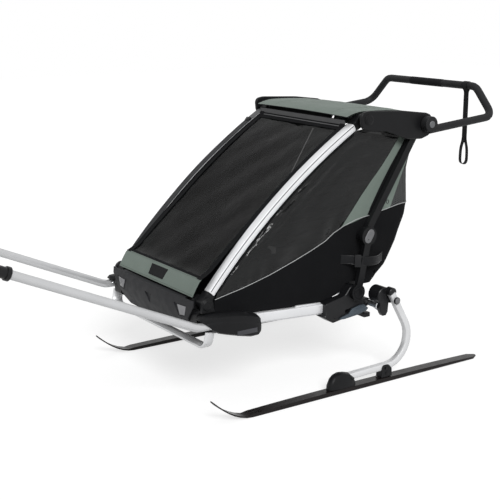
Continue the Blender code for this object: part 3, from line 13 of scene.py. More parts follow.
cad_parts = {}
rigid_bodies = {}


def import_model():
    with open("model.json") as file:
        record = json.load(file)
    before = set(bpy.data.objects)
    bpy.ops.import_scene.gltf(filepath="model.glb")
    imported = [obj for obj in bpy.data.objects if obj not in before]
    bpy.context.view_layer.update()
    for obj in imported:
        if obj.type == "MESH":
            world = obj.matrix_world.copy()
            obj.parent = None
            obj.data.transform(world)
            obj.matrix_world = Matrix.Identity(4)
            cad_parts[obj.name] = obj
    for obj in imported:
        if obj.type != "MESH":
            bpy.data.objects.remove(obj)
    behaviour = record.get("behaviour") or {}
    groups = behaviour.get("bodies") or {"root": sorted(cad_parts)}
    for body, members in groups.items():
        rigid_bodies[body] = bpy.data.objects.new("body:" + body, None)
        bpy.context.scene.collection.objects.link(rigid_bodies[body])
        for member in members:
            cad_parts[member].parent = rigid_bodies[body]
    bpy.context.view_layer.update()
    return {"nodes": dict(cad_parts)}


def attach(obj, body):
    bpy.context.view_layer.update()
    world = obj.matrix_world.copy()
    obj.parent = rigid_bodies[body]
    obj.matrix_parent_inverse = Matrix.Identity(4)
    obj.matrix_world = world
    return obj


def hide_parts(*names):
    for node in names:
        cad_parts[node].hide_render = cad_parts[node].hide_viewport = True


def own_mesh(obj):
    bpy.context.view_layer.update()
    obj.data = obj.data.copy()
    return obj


for item in list(bpy.data.objects):
    bpy.data.objects.remove(item, do_unlink=True)

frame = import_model()

SHIFT = -0.04285

# Thicknesses of cloth and the piping's radius
CLOTH = 0.0016
BOUND_CLOTH = 0.0022
FILM = 0.0010
PIPING_R = 0.0013

# Front uprights, as in the model
UPRIGHT_OUTER_X = 0.317
UPRIGHT_WIDTH = 0.037
UPRIGHT_DEPTH = 0.030
UPRIGHT_LOW = (0.060, 0.4365)
UPRIGHT_HIGH = (0.7085, 0.9885)
UPRIGHT_BOW = 0.036
UPRIGHT_LEAN = math.atan2(UPRIGHT_HIGH[1] - UPRIGHT_LOW[1], UPRIGHT_HIGH[0] - UPRIGHT_LOW[0])

# Pivots and the handlebar's crossbar, as (y, z)
KNUCKLE = (0.760, 0.567)
POST_PIVOT = (1.008, 0.955)
BAR = (1.392, 1.107)

# Height that stays put when the frame folds, and the share of the height above it that is left
SIDE_FOLD = (0.330, 0.20)
BACK_CLOTH_FOLD = (0.340, 0.20)
BACKREST_FOLD = (0.400, 0.12)


def at(x, y, z):
    """World point from a point measured as in the model's source."""
    return Vector((x, y + SHIFT, z))


def mix(a, b, t):
    """Value between two others."""
    return a + (b - a) * t


def ease(t):
    """Smooth step from 0 to 1."""
    t = max(0.0, min(1.0, t))
    return t * t * (3 - 2 * t)


def hump(t):
    """Half a sine wave: 0 at both ends and 1 in the middle."""
    return max(0.0, math.sin(math.pi * t))


def shares(count, start=0.0, end=1.0):
    """Values from start to end in equal steps, with both ends."""
    return [mix(start, end, k / count) for k in range(count + 1)]


def field(counts, point):
    """Rows of points, where point takes the share along a row and the share from row to row."""
    rows, columns = counts
    return [[point(u, v) for u in shares(columns)] for v in shares(rows)]


def along(marks, t):
    """Point at a share of a broken line's length."""
    lengths = [0.0]
    for a, b in zip(marks, marks[1:]):
        lengths.append(lengths[-1] + math.dist(a, b))
    goal = t * lengths[-1]
    for k in range(len(marks) - 1):
        if goal <= lengths[k + 1] or k == len(marks) - 2:
            share = (goal - lengths[k]) / (lengths[k + 1] - lengths[k])
            return tuple(mix(p, q, share) for p, q in zip(marks[k], marks[k + 1]))


def height_on(marks, y):
    """Height of a broken line at a length position."""
    for (y0, z0), (y1, z1) in zip(marks, marks[1:]):
        if y <= y1:
            return mix(z0, z1, (y - y0) / (y1 - y0))
    return marks[-1][1]


def wobble(a, b, seed=0.0):
    """Smooth irregular wave, from -1 to 1, of two numbers."""
    value = math.sin(1.7 * a + 0.9 * b + seed) + math.sin(2.9 * b - 1.3 * a + 2.1 * seed)
    value += 0.6 * math.sin(4.1 * a + 3.3 * b + 1.7 * seed)
    return value / 2.6


def upright_arc(share, lift=0.0):
    """Point (y, z) on the uprights' arc at a share of its length, lifted square to it."""
    low = Vector(UPRIGHT_LOW)
    high = Vector(UPRIGHT_HIGH)
    chord = high - low
    radius = (chord.length / 2) ** 2 / (2 * UPRIGHT_BOW) + UPRIGHT_BOW / 2
    half = math.asin(chord.length / 2 / radius)
    ahead = chord.normalized()
    out = Vector((-ahead.y, ahead.x))
    angle = half * (2 * share - 1)
    centre = (low + high) / 2 - out * (radius - UPRIGHT_BOW)
    return centre + (out * math.cos(angle) + ahead * math.sin(angle)) * (radius + lift)


# Materials

def feed(node, key, value):
    """Sets a node's input to a value, or links a socket to it."""
    if isinstance(value, bpy.types.NodeSocket):
        node.id_data.links.new(value, node.inputs[key])
    else:
        node.inputs[key].default_value = value


def make(tree, kind, inputs=None, **settings):
    """Node of a kind with its settings and inputs."""
    node = tree.nodes.new(kind)
    for key, value in settings.items():
        setattr(node, key, value)
    for key, value in (inputs or {}).items():
        feed(node, key, value)
    return node


def calc(tree, operation, a, b=0.0):
    """Math node on two numbers or sockets."""
    return make(tree, "ShaderNodeMath", {0: a, 1: b}, operation=operation).outputs[0]


def own_place(tree):
    """Place on the object in its own metres."""
    return make(tree, "ShaderNodeTexCoord").outputs["Object"]


def noise(tree, scale, detail=3.0, stretch=(1, 1, 1), turn=(0, 0, 0)):
    """Noise in the object's own metres, which can be stretched along a turned direction."""
    mapping = make(tree, "ShaderNodeMapping", {"Vector": own_place(tree), "Rotation": turn, "Scale": stretch})
    inputs = {"Vector": mapping.outputs["Vector"], "Scale": scale, "Detail": detail}
    return make(tree, "ShaderNodeTexNoise", inputs).outputs["Fac"]


def ranged(tree, value, low, high, start=0.3, end=0.7):
    """A value brought from one range to another."""
    inputs = {"Value": value, "From Min": start, "From Max": end, "To Min": low, "To Max": high}
    return make(tree, "ShaderNodeMapRange", inputs).outputs["Result"]


def weave_height(tree, pitch):
    """Height of a plain weave with threads a pitch apart, for sheets that face any way."""
    x, y, z = make(tree, "ShaderNodeSeparateXYZ", {0: own_place(tree)}).outputs
    across = calc(tree, "ADD", calc(tree, "MULTIPLY", x, 0.9), y)
    slant = calc(tree, "SUBTRACT", calc(tree, "MULTIPLY", x, 0.45), calc(tree, "MULTIPLY", y, 0.3))
    up = calc(tree, "ADD", z, slant)
    turns = 2 * math.pi / pitch
    waves = [calc(tree, "SINE", calc(tree, "MULTIPLY", value, turns)) for value in (across, up)]
    return calc(tree, "MULTIPLY", *waves)


def add_bump(tree, shader, height, strength, distance):
    """Bump on top of what the shader's normal already has."""
    inputs = {"Height": height, "Strength": strength, "Distance": distance}
    if shader.inputs["Normal"].is_linked:
        inputs["Normal"] = shader.inputs["Normal"].links[0].from_socket
    feed(shader, "Normal", make(tree, "ShaderNodeBump", inputs).outputs["Normal"])


def two_tone(tree, factor, low, high):
    """Colour between two by a factor."""
    ramp = make(tree, "ShaderNodeValToRGB", {"Fac": factor})
    ramp.color_ramp.elements[0].color = (*low, 1)
    ramp.color_ramp.elements[1].color = (*high, 1)
    return ramp.outputs["Color"]


def tinted(tree, colour, factor):
    """Colour made lighter or darker by a factor."""
    return make(tree, "ShaderNodeVectorMath", {0: colour, "Scale": factor}, operation="SCALE").outputs[0]


def rounded_normal(tree, radius):
    """Normal that is rounded at edges."""
    return make(tree, "ShaderNodeBevel", {"Radius": radius}, samples=4).outputs[0]


def edge_highlight_mask(tree, width, gain):
    """Mask for a painted edge highlight: up to the gain on an edge of the given width, 0 on a face."""
    flat = make(tree, "ShaderNodeNewGeometry").outputs["Normal"]
    inputs = {0: rounded_normal(tree, width), 1: flat}
    dot = make(tree, "ShaderNodeVectorMath", inputs, operation="DOT_PRODUCT").outputs["Value"]
    return ranged(tree, calc(tree, "SUBTRACT", 1.0, dot), 0.0, gain, 0.01, 0.25)


def shader_of(name):
    """New material with its tree and its Principled shader."""
    material = bpy.data.materials.new(name)
    material.use_nodes = True
    return material, material.node_tree, material.node_tree.nodes["Principled BSDF"]


def colour_of(shader):
    """Socket that the shader's colour comes from."""
    return shader.inputs["Base Color"].links[0].from_socket


def base(name, colour, rough, metallic=0.0, spec=0.5, blotch=(14.0, 0.10), spread=0.06):
    """Principled material with slow changes of colour and roughness."""
    material, tree, shader = shader_of(name)
    feed(shader, "Metallic", metallic)
    feed(shader, "Specular IOR Level", spec)
    material.diffuse_color = (*colour, 1)
    scale, amount = blotch
    patch = ranged(tree, noise(tree, scale, 4.0), 0.0, 1.0)
    low = tuple(c * (1 - amount) for c in colour)
    high = tuple(min(1.0, c * (1 + amount)) for c in colour)
    feed(shader, "Base Color", two_tone(tree, patch, low, high))
    feed(shader, "Roughness", ranged(tree, noise(tree, scale * 2.3), rough - spread, rough + spread))
    return material, tree, shader


def moulded(name, colour, rough, spec, grain=0.10, edge=0.0012):
    """Moulded plastic with a fine grain, softened edges and a painted highlight along its edges."""
    material, tree, shader = base(name, colour, rough, 0.0, spec)
    feed(shader, "Normal", rounded_normal(tree, edge))
    add_bump(tree, shader, noise(tree, 1500.0, 2.0), grain, 0.0003)
    # Painted highlight: every edge is painted paler than the faces.
    paler = tuple(min(1.0, c * 2.0 + 0.018) for c in colour)
    inputs = {0: edge_highlight_mask(tree, edge * 1.4, 0.30), 6: colour_of(shader), 7: (*paler, 1)}
    feed(shader, "Base Color", make(tree, "ShaderNodeMix", inputs, data_type="RGBA").outputs[2])
    return material


def metal(name, colour, rough, turn, brushed, gleam):
    """Anodised or bare metal, brushed along a direction that is turned about X from the Y axis."""
    material, tree, shader = base(name, colour, rough, gleam, 0.5, (9.0, 0.035), 0.04)
    feed(shader, "Normal", rounded_normal(tree, 0.0010))
    lines = noise(tree, 1.0, 2.0, (1600, 14, 1600), (-turn, 0, 0))
    add_bump(tree, shader, lines, brushed, 0.0002)
    feed(shader, "Roughness", ranged(tree, lines, rough - 0.05, rough + 0.07))
    return material


def woven(name, colour, pitch, rough=0.85, bump=0.35, sheen=0.15, spec=0.2, creases=0.5):
    """Woven cloth with soft creases."""
    material, tree, shader = base(name, colour, rough, 0.0, spec, (7.0, 0.09), 0.05)
    feed(shader, "Sheen Weight", sheen)
    feed(shader, "Sheen Roughness", 0.5)
    threads = weave_height(tree, pitch)
    add_bump(tree, shader, threads, bump, 0.0003)
    add_bump(tree, shader, noise(tree, 16.0, 3.0, (1, 1, 0.6)), creases, 0.004)
    fine = ranged(tree, threads, 0.80, 1.12, -1.0, 1.0)
    feed(shader, "Base Color", tinted(tree, colour_of(shader), fine))
    return material


def film(name, colour, alpha, rough, spec, crease):
    """Tinted clear film with long soft creases."""
    material, tree, shader = base(name, colour, rough, 0.0, spec, (11.0, 0.25), 0.05)
    feed(shader, "Alpha", alpha)
    add_bump(tree, shader, noise(tree, 6.0, 3.0, (1.0, 0.5, 1.4), (0.7, 0, 0)), crease, 0.020)
    add_bump(tree, shader, noise(tree, 22.0, 2.0, (1.0, 0.35, 1.6), (0.9, 0, 0)), crease * 0.55, 0.006)
    return material


def net(name, colour, thread, pitch):
    """Coarse knitted net: pale threads round dark holes that are partly clear."""
    material, tree, shader = base(name, colour, 0.75, 0.0, 0.2)
    height = calc(tree, "ABSOLUTE", weave_height(tree, pitch * 2))
    dots = ranged(tree, height, 0.0, 1.0, 0.25, 0.75)
    feed(shader, "Base Color", two_tone(tree, dots, thread, colour))
    feed(shader, "Alpha", ranged(tree, dots, 1.0, 0.55, 0.0, 1.0))
    add_bump(tree, shader, dots, 0.6, 0.0008)
    return material


def backrest_cloth():
    """Backrest cloth: black below, dark green above a level seam."""
    material, tree, shader = base("backrest_cloth", (0.02, 0.021, 0.024), 0.88, 0.0, 0.15)
    threads = weave_height(tree, 0.0018)
    add_bump(tree, shader, threads, 0.5, 0.0003)
    add_bump(tree, shader, noise(tree, 14.0), 0.4, 0.004)
    height = make(tree, "ShaderNodeSeparateXYZ", {0: own_place(tree)}).outputs["Z"]
    above = ranged(tree, height, 0.0, 1.0, 0.612, 0.616)
    blotch = ranged(tree, noise(tree, 9.0), 0.85, 1.15)
    colour = two_tone(tree, above, (0.016, 0.017, 0.019), (0.085, 0.110, 0.092))
    shade = calc(tree, "MULTIPLY", blotch, ranged(tree, threads, 0.85, 1.1, -1.0, 1.0))
    feed(shader, "Base Color", tinted(tree, colour, shade))
    return material


MAT = {
    "upright": metal("upright_metal", (0.80, 0.805, 0.82), 0.40, UPRIGHT_LEAN, 0.16, 0.35),
    "rail": metal("rail_metal", (0.76, 0.765, 0.78), 0.38, -0.053, 0.10, 0.40),
    "tow": metal("tow_metal", (0.56, 0.565, 0.575), 0.34, -0.415, 0.06, 0.45),
    "leg": metal("leg_metal", (0.68, 0.685, 0.695), 0.38, 0.0, 0.05, 0.40),
    "steel": metal("axle_steel", (0.52, 0.53, 0.55), 0.26, 0.0, 0.05, 0.9),
    "leaf": metal("leaf_steel", (0.075, 0.095, 0.115), 0.42, 0.3, 0.05, 0.7),
    "black": moulded("black_moulding", (0.0070, 0.0072, 0.0080), 0.42, 0.15),
    "satin": moulded("black_satin", (0.0085, 0.0087, 0.0098), 0.34, 0.22, 0.06),
    "bumper": moulded("bumper_moulding", (0.0190, 0.0195, 0.0215), 0.52, 0.15, 0.14),
    "grey": moulded("grey_moulding", (0.13, 0.135, 0.142), 0.40, 0.3, 0.04),
    "knob": moulded("knob_moulding", (0.150, 0.152, 0.158), 0.42, 0.3, 0.05),
    "bar": moulded("bar_rubber", (0.0165, 0.0168, 0.0180), 0.56, 0.14, 0.12, 0.0008),
    "grip": moulded("grip_foam", (0.0105, 0.0106, 0.0115), 0.75, 0.10, 0.30, 0.0008),
    "ski": moulded("ski_laminate", (0.0075, 0.0058, 0.0058), 0.30, 0.18, 0.03, 0.0010),
    "lens": moulded("reflector_lens", (0.045, 0.046, 0.052), 0.22, 0.3, 0.03),
    "pale_lens": moulded("front_reflector_lens", (0.24, 0.24, 0.25), 0.20, 0.4, 0.03),
    "green": woven("green_cloth", (0.172, 0.212, 0.186), 0.0010),
    "cloth": woven("black_cloth", (0.0068, 0.0070, 0.0078), 0.0012, 0.86, 0.30, 0.02, 0.06),
    "webbing": woven("black_webbing", (0.0125, 0.0128, 0.0140), 0.0022, 0.72, 0.55, 0.04, 0.10, 0.1),
    "pad": woven("seat_cloth", (0.0070, 0.0074, 0.0084), 0.0018, 0.9, 0.25, 0.03, 0.06, 0.35),
    "strap_pad": woven("harness_pad_cloth", (0.030, 0.031, 0.034), 0.0020, 0.9, 0.3, 0.05, 0.10, 0.2),
    "flap": woven("flap_cloth", (0.026, 0.027, 0.029), 0.0012, 0.7, 0.3, 0.04, creases=0.2),
    "patch": woven("patch_cloth", (0.0085, 0.0087, 0.0095), 0.0012, 0.7, 0.3, 0.02, 0.10, 0.1),
    "hem": woven("pale_hem", (0.105, 0.106, 0.108), 0.0012, 0.6, 0.25, 0.06, creases=0.15),
    "piping": woven("piping_cord", (0.46, 0.47, 0.47), 0.0016, 0.6, 0.4, 0.1, creases=0.0),
    "front_film": film("front_window_film", (0.0040, 0.0045, 0.0044), 0.76, 0.14, 0.07, 0.30),
    "side_film": film("side_window_film", (0.0070, 0.0074, 0.0076), 0.88, 0.16, 0.28, 1.2),
    "net": net("vent_net", (0.004, 0.004, 0.0045), (0.085, 0.088, 0.088), 0.0085),
}

# Nodes that keep their solid, by the material that they show
LOOKS = {
    "upright": ("front_upright",),
    "rail": ("side_rail", "top_cross_tube"),
    "tow": ("tow_bar",),
    "leg": ("ski_leg", "front_crossbar"),
    "steel": ("axle_tube",),
    "black": ("upright_foot", "upright_head", "front_knuckle", "wing_pod", "rear_cross_tube", "rear_post",
              "lower_strut", "top_bracket", "ski_toe_boot", "ski_heel_clamp", "pod_button"),
    "satin": ("rear_bracket", "tow_sleeve", "axle_hub", "brake_pedal"),
    "bumper": ("front_bumper", "floor_tub"),
    "ski": ("ski",),
    "bar": ("handlebar",),
    "grey": ("handlebar_button",),
    "knob": ("knuckle_button", "axle_button"),
    "lens": ("pod_reflector",),
}


def stem_of(name):
    """Name without its side."""
    return name.replace("_left", "").replace("_right", "")


def dress_nodes():
    """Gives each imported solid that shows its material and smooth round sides."""
    materials = {stem: key for key, stems in LOOKS.items() for stem in stems}
    for name, node in frame["nodes"].items():
        key = materials.get(stem_of(name))
        if key:
            node.data.materials.clear()
            node.data.materials.append(MAT[key])
            smooth(node, 34.0)


def smooth(node, angle):
    """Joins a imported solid's faces for display and shades them smooth up to an angle."""
    mesh = node.data
    if "custom_normal" in mesh.attributes:
        mesh.attributes.remove(mesh.attributes["custom_normal"])
    mesh.shade_smooth()
    weld = node.modifiers.new("weld", "WELD")
    weld.merge_threshold = 0.00002
    split = node.modifiers.new("edges", "EDGE_SPLIT")
    split.split_angle = math.radians(angle)


# Meshes

def from_bmesh(name, bm, material, smooth_angle=40.0):
    """Object from a bmesh."""
    mesh = bpy.data.meshes.new(name)
    bm.to_mesh(mesh)
    bm.free()
    mesh.shade_smooth()
    mesh.set_sharp_from_angle(angle=math.radians(smooth_angle))
    item = bpy.data.objects.new(name, mesh)
    bpy.context.scene.collection.objects.link(item)
    mesh.materials.append(MAT[material] if isinstance(material, str) else material)
    return item


def solid(name, rings, material, closed=False, edge=0.0, smooth_angle=40.0):
    """Solid through rings of points, capped or closed on itself, with its edges rounded."""
    bm = bmesh.new()
    rings = [[bm.verts.new(point) for point in ring] for ring in rings]
    pairs = list(zip(rings, rings[1:]))
    if closed:
        pairs.append((rings[-1], rings[0]))
    for low, high in pairs:
        for k in range(len(low)):
            n = (k + 1) % len(low)
            bm.faces.new((low[k], low[n], high[n], high[k]))
    if not closed:
        bm.faces.new(rings[0])
        bm.faces.new(rings[-1])
    bmesh.ops.recalc_face_normals(bm, faces=bm.faces)
    if edge:
        bmesh.ops.bevel(bm, geom=bm.edges[:], offset=edge, segments=2, affect="EDGES", profile=0.5)
    return from_bmesh(name, bm, material, smooth_angle)


def circle(centre, side, up, radius, sides):
    """Points of a circle in the plane of two directions."""
    angles = [2 * math.pi * k / sides for k in range(sides)]
    return [centre + (side * math.cos(angle) + up * math.sin(angle)) * radius for angle in angles]


def directions(points, closed=False):
    """Direction of a line at each of its points."""
    last = len(points) - 1
    if closed:
        pairs = [(points[k - 1], points[(k + 1) % len(points)]) for k in range(len(points))]
    else:
        pairs = [(points[max(k - 1, 0)], points[min(k + 1, last)]) for k in range(len(points))]
    return [(b - a).normalized() for a, b in pairs]


def tube(name, points, radius, material, sides=8, closed=False):
    """Round tube along points."""
    rings = []
    side = Vector((0, 0, 1))
    for point, ahead in zip(points, directions(points, closed)):
        if not rings and abs(ahead.dot(side)) > 0.95:
            side = Vector((1, 0, 0))
        side = (side - ahead * side.dot(ahead)).normalized()
        rings.append(circle(point, side, ahead.cross(side), radius, sides))
    return solid(name, rings, material, closed)


def ribbon(name, points, flat, width, thickness, material):
    """Flat webbing with rounded edges along points, its width along the flat vector."""
    a = width / 2
    b = thickness / 2
    r = b * 0.3
    shape = [(-a, -b + r), (-a + r * 2, -b), (a - r * 2, -b), (a, -b + r),
             (a, b - r), (a - r * 2, b), (-a + r * 2, b), (-a, b - r)]
    rings = []
    for point, ahead in zip(points, directions(points)):
        side = Vector(flat)
        side = (side - ahead * side.dot(ahead)).normalized()
        up = ahead.cross(side)
        rings.append([point + side * s + up * t for s, t in shape])
    return solid(name, rings, material)


def turned(name, profile, centre, material, sides=28):
    """Solid of revolution about X: profile as (distance along the axis, radius)."""
    axis = Vector((1, 0, 0))
    side = axis.orthogonal().normalized()
    up = axis.cross(side)
    rings = [circle(centre + axis * reach, side, up, radius, sides) for reach, radius in profile]
    return solid(name, rings, material, smooth_angle=32.0)


def block(name, outline, low, high, material, edge):
    """Outline of (y, z) extruded between two values of x, with rounded edges."""
    return solid(name, [[at(x, y, z) for y, z in outline] for x in (low, high)], material, edge=edge)


def rounded_box(name, placed, size, edge, segments, material, smooth_angle=40.0):
    """Box with rounded edges, placed by a matrix."""
    bm = bmesh.new()
    bmesh.ops.create_cube(bm, size=1.0, matrix=placed @ Matrix.Diagonal((*size, 1)))
    bmesh.ops.bevel(bm, geom=bm.edges[:], offset=edge, segments=segments, affect="EDGES", profile=0.6)
    return from_bmesh(name, bm, material, smooth_angle)


def joined(name, items):
    """Several pieces of one material as one piece."""
    bm = bmesh.new()
    for item in items:
        bm.from_mesh(item.data)
    material = items[0].data.materials[0]
    for item in items:
        bpy.data.objects.remove(item, do_unlink=True)
    return from_bmesh(name, bm, material)


def smooth_line(points, steps):
    """Smooth curve through points."""
    points = [Vector(p) for p in points]
    line = []
    for k in range(len(points) - 1):
        p0 = points[max(k - 1, 0)]
        p1 = points[k]
        p2 = points[k + 1]
        p3 = points[min(k + 2, len(points) - 1)]
        for s in range(steps):
            t = s / steps
            bend = (2 * p0 - 5 * p1 + 4 * p2 - p3) * t * t + (3 * p1 - p0 - 3 * p2 + p3) * t ** 3
            line.append((2 * p1 + (p2 - p0) * t + bend) / 2)
    line.append(points[-1])
    return line


# Flat cut of each cloth, by its name without a side: width, length and area
CUTS = {}


def cut_of(rows):
    """Width, length and area of a cloth's flat cut, measured along its threads."""
    widths = [sum((b - a).length for a, b in zip(row, row[1:])) for row in rows]
    lengths = [sum((b - a).length for a, b in zip(line, line[1:])) for line in zip(*rows)]
    area = 0.0
    for low, high in zip(rows, rows[1:]):
        for k in range(len(low) - 1):
            area += (low[k + 1] - low[k]).cross(high[k] - low[k]).length / 2
            area += (high[k + 1] - high[k]).cross(high[k + 1] - low[k + 1]).length / 2
    return round(max(widths), 3), round(max(lengths), 3), area


def grid(name, rows, material, thickness=CLOTH, closed=False):
    """Closed sheet of cloth through rows of points, thickened to both sides."""
    CUTS[name] = cut_of(rows)
    height = len(rows)
    width = len(rows[0])

    def normal(i, j):
        """Normal of the sheet at a point."""
        down = rows[min(i + 1, height - 1)][j] - rows[max(i - 1, 0)][j]
        if closed:
            side = rows[i][(j + 1) % width] - rows[i][j - 1]
        else:
            side = rows[i][min(j + 1, width - 1)] - rows[i][max(j - 1, 0)]
        square = down.cross(side)
        return square.normalized() if square.length > 1e-12 else Vector((0, 0, 1))

    bm = bmesh.new()
    normals = [[normal(i, j) for j in range(width)] for i in range(height)]
    layers = []
    for sign in (0.5, -0.5):
        layers.append([[bm.verts.new(p + n * thickness * sign) for p, n in zip(row, line)]
                       for row, line in zip(rows, normals)])
    for layer in layers:
        for low, high in zip(layer, layer[1:]):
            for j in range(width if closed else width - 1):
                n = (j + 1) % width
                bm.faces.new((low[j], low[n], high[n], high[j]))
    rims = [[(0, j) for j in range(width)], [(height - 1, j) for j in range(width)]]
    if not closed:
        rims += [[(i, 0) for i in range(height)], [(i, width - 1) for i in range(height)]]
    for rim in rims:
        pairs = list(zip(rim, rim[1:]))
        if closed:
            pairs.append((rim[-1], rim[0]))
        for (i, j), (m, n) in pairs:
            bm.faces.new((layers[0][i][j], layers[0][m][n], layers[1][m][n], layers[1][i][j]))
    bmesh.ops.recalc_face_normals(bm, faces=bm.faces)
    return from_bmesh(name, bm, material)


def sheet(item, rests_on, with_pieces=()):
    """Looks up the width, length and area of a sheet of cloth's flat cut."""
    width, length, area = CUTS[stem_of(item.name)]
    area = min(area, width * length)


def keep(item, body, node=None, fold=None):
    """Puts a piece on its body, hides the node that it replaces, and gives a piece that folds a mesh of its
    own.
    """
    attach(item, body)
    if node:
        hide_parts(node)
    if fold:
        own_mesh(item)
    return item


def both_sides(item, body, node=None, fold=None):
    """A left piece and its right twin, on one body or each on its own."""
    stem = item.name
    item.name = stem + "_left"
    mesh = item.data.copy()
    mesh.transform(Matrix.Scale(-1.0, 4, (1, 0, 0)))
    mesh.flip_normals()
    twin = bpy.data.objects.new(stem + "_right", mesh)
    bpy.context.scene.collection.objects.link(twin)
    bodies = body if isinstance(body, tuple) else (body, body)
    for piece, side, where in ((item, "_left", bodies[0]), (twin, "_right", bodies[1])):
        keep(piece, where, node + side if node else None, fold)
    return item, twin


# Front cover

COVER_HALF = UPRIGHT_OUTER_X - UPRIGHT_WIDTH - 0.0015
BAND_TOP = 0.0785


def cover_profile():
    """Middle line of the front cover from its lower edge to the top, as (y, z)."""
    line = [(0.0, 0.4256), (0.0175, 0.4541), (0.035, 0.4826)]
    for share in shares(24, 0.070, 0.985):
        swell = 0.026 * max(0.0, 1 - share / 0.42) ** 1.5
        line.append(tuple(upright_arc(share, 0.010 + swell)))
    return line + [(0.690, 1.016)]


COVER = cover_profile()


def cover_point(u, v, lift=0.0, slack=0.0):
    """Point of the front cover: u across from -1 to 1, v up from 0 to 1."""
    y, z = along(COVER, v)
    ahead = Vector(along(COVER, min(1.0, v + 0.01))) - Vector(along(COVER, max(0.0, v - 0.01)))
    ahead.normalize()
    lift -= slack * (1 - u * u) * math.sin(math.pi * min(1.0, max(0.0, (v - 0.07) / 0.90)))
    return at(COVER_HALF * u, y - ahead.y * lift, z + ahead.x * lift)


def cover_part(name, across, up, counts, lift, material, thickness):
    """Part of the front cover between two values across it and two values up it."""
    rows = field(counts, lambda u, v: cover_point(mix(*across, u), mix(*up, v), lift))
    return grid(name, rows, material, thickness)


def window_point(u, v):
    """Point of the front window with its slack and creases."""
    u = (2 * u - 1) * 0.955
    v = mix(BAND_TOP + 0.002, 0.972, v)
    crease = 0.0022 * wobble(u * 3.1 + v * 2.0, v * 9.0 - u * 2.0, 0.4) * (1 - u ** 4)
    return cover_point(u, v, -0.0015 + crease, 0.010)


def patch_point(u, v):
    """Point of the label patch, which is wider at its top."""
    reach = mix(0.190, 0.215, v)
    return cover_point(mix(-reach, reach, u), mix(0.018, 0.064, v), 0.0030)


def make_cover():
    """Front cover: green band, dark window, black borders and a plain label patch."""
    uprights = ["front_upright_left", "front_upright_right"]
    rows = field((6, 24), lambda u, v: cover_point(2 * u - 1, BAND_TOP * v, 0.0012 * hump(v)))
    band = keep(grid("front_band", rows, "green", BOUND_CLOTH), "front_frame", "front_cover")
    window = grid("front_window", field((48, 28), window_point), "front_film", FILM)
    keep(window, "front_frame")
    up = (BAND_TOP - 0.004, 0.985)
    parts = [((sign * 0.905, sign), up, (32, 3), 0.0006, BOUND_CLOTH) for sign in (1, -1)]
    parts += [((-1, 1), (0.945, 1.0), (3, 16), 0.0006, BOUND_CLOTH),
              ((-0.93, 0.93), (BAND_TOP, BAND_TOP + 0.012), (2, 20), 0.0004, 0.0020)]
    borders = []
    for across, up, counts, lift, thickness in parts:
        borders.append(cover_part("border", across, up, counts, lift, "cloth", thickness))
    border = keep(joined("front_cover_border", borders), "front_frame")
    patch = grid("front_label_patch", field((4, 12), patch_point), "patch", 0.0014)
    keep(patch, "front_frame")
    sheet(band, uprights, [patch, stitch_lines()])
    hem = cover_part("window_top_hem", (-1, 1), (0.963, 0.998), (3, 20), 0.0026, "hem", CLOTH)
    keep(hem, "front_frame")
    sheet(window, uprights, [border, hem])
    make_zip_flap()


def stitch_lines():
    """Rows of stitches along the green band's edges."""
    stitches = []
    for v in (0.006, BAND_TOP - 0.006):
        run = [cover_point(u, v, 0.0030) for u in shares(60, -1, 1)]
        for a, b in zip(run, run[1:]):
            stitches.append(tube("stitch", [a.lerp(b, 0.2), a.lerp(b, 0.8)], 0.00045, "flap", 5))
    return keep(joined("front_band_stitches", stitches), "front_frame")


def make_zip_flap():
    """Zip flap of the cover, folded over the right upright's front and held by a clip."""
    inner = -(UPRIGHT_OUTER_X - UPRIGHT_WIDTH + 0.001)
    outer = -(UPRIGHT_OUTER_X - 0.002)
    front = UPRIGHT_DEPTH / 2

    def part(name, count, start, end, lift, wave, material):
        """Length of the flap between two shares of the upright."""
        def point(u, v):
            """Point of the flap over the upright's front."""
            share = mix(start, end, v)
            y, z = upright_arc(share, front + lift + wave * math.sin(14 * share))
            return at(mix(inner, outer, u), y, z)
        return keep(grid(name, field((count, 5), point), material, 0.0018), "front_frame")

    flap = part("zip_flap", 36, 0.012, 0.925, 0.0018, 0.0006, "flap")
    end = part("zip_flap_end", 4, 0.928, 1.0, 0.0020, 0.0, "hem")
    y, z = upright_arc(0.915, front + 0.004)
    ahead = Vector((0.66, 0.75)).normalized()
    outline = []
    for a, b in ((-0.009, -0.002), (0.009, -0.002), (0.009, 0.004), (-0.009, 0.004)):
        outline.append((y + ahead.x * a - ahead.y * b, z + ahead.y * a + ahead.x * b))
    clip = block("zip_flap_clip", outline, inner - 0.002, outer + 0.002, "black", 0.0012)
    keep(clip, "front_frame")
    sheet(flap, ["front_upright_right"], [end, clip])


# Side cloth, with its lines as (y, z), and its rear edge as (z, y)

SEAM = [(0.078, 0.4095), (0.140, 0.424), (0.201, 0.438), (0.318, 0.469), (0.429, 0.506), (0.509, 0.535),
        (0.576, 0.563), (0.617, 0.590), (0.668, 0.612), (0.728, 0.629), (0.775, 0.634), (0.830, 0.638)]
STRIP_LEFT = [(0.655, 0.608), (0.702, 0.662), (0.750, 0.720), (0.799, 0.773), (0.849, 0.823),
              (0.899, 0.878), (0.964, 0.960)]
STRIP_RIGHT = [(0.790, 0.636), (0.806, 0.672), (0.852, 0.750), (0.901, 0.823), (0.950, 0.888), (0.992, 0.946)]
SIDE_LOW = [(0.0, 0.3475), (0.550, 0.3190), (0.600, 0.3285), (0.640, 0.3370), (0.656, 0.344),
            (0.691, 0.3785), (1.2, 0.385)]
REAR_EDGE = [(0.300, 0.728), (0.387, 0.734), (0.470, 0.744), (0.567, 0.765), (0.700, 0.850),
             (0.925, 0.992), (1.2, 1.1)]
UPRIGHT_REAR = [tuple(upright_arc(share, -UPRIGHT_DEPTH / 2)) for share in shares(20)]
SIDE_X = 0.3025
SIDE_BULGE = 0.0095
WINDOW_TOP = 0.985
WINDOW_CORNER = (0.974, 0.966)
WINDOW_TURN = 0.84


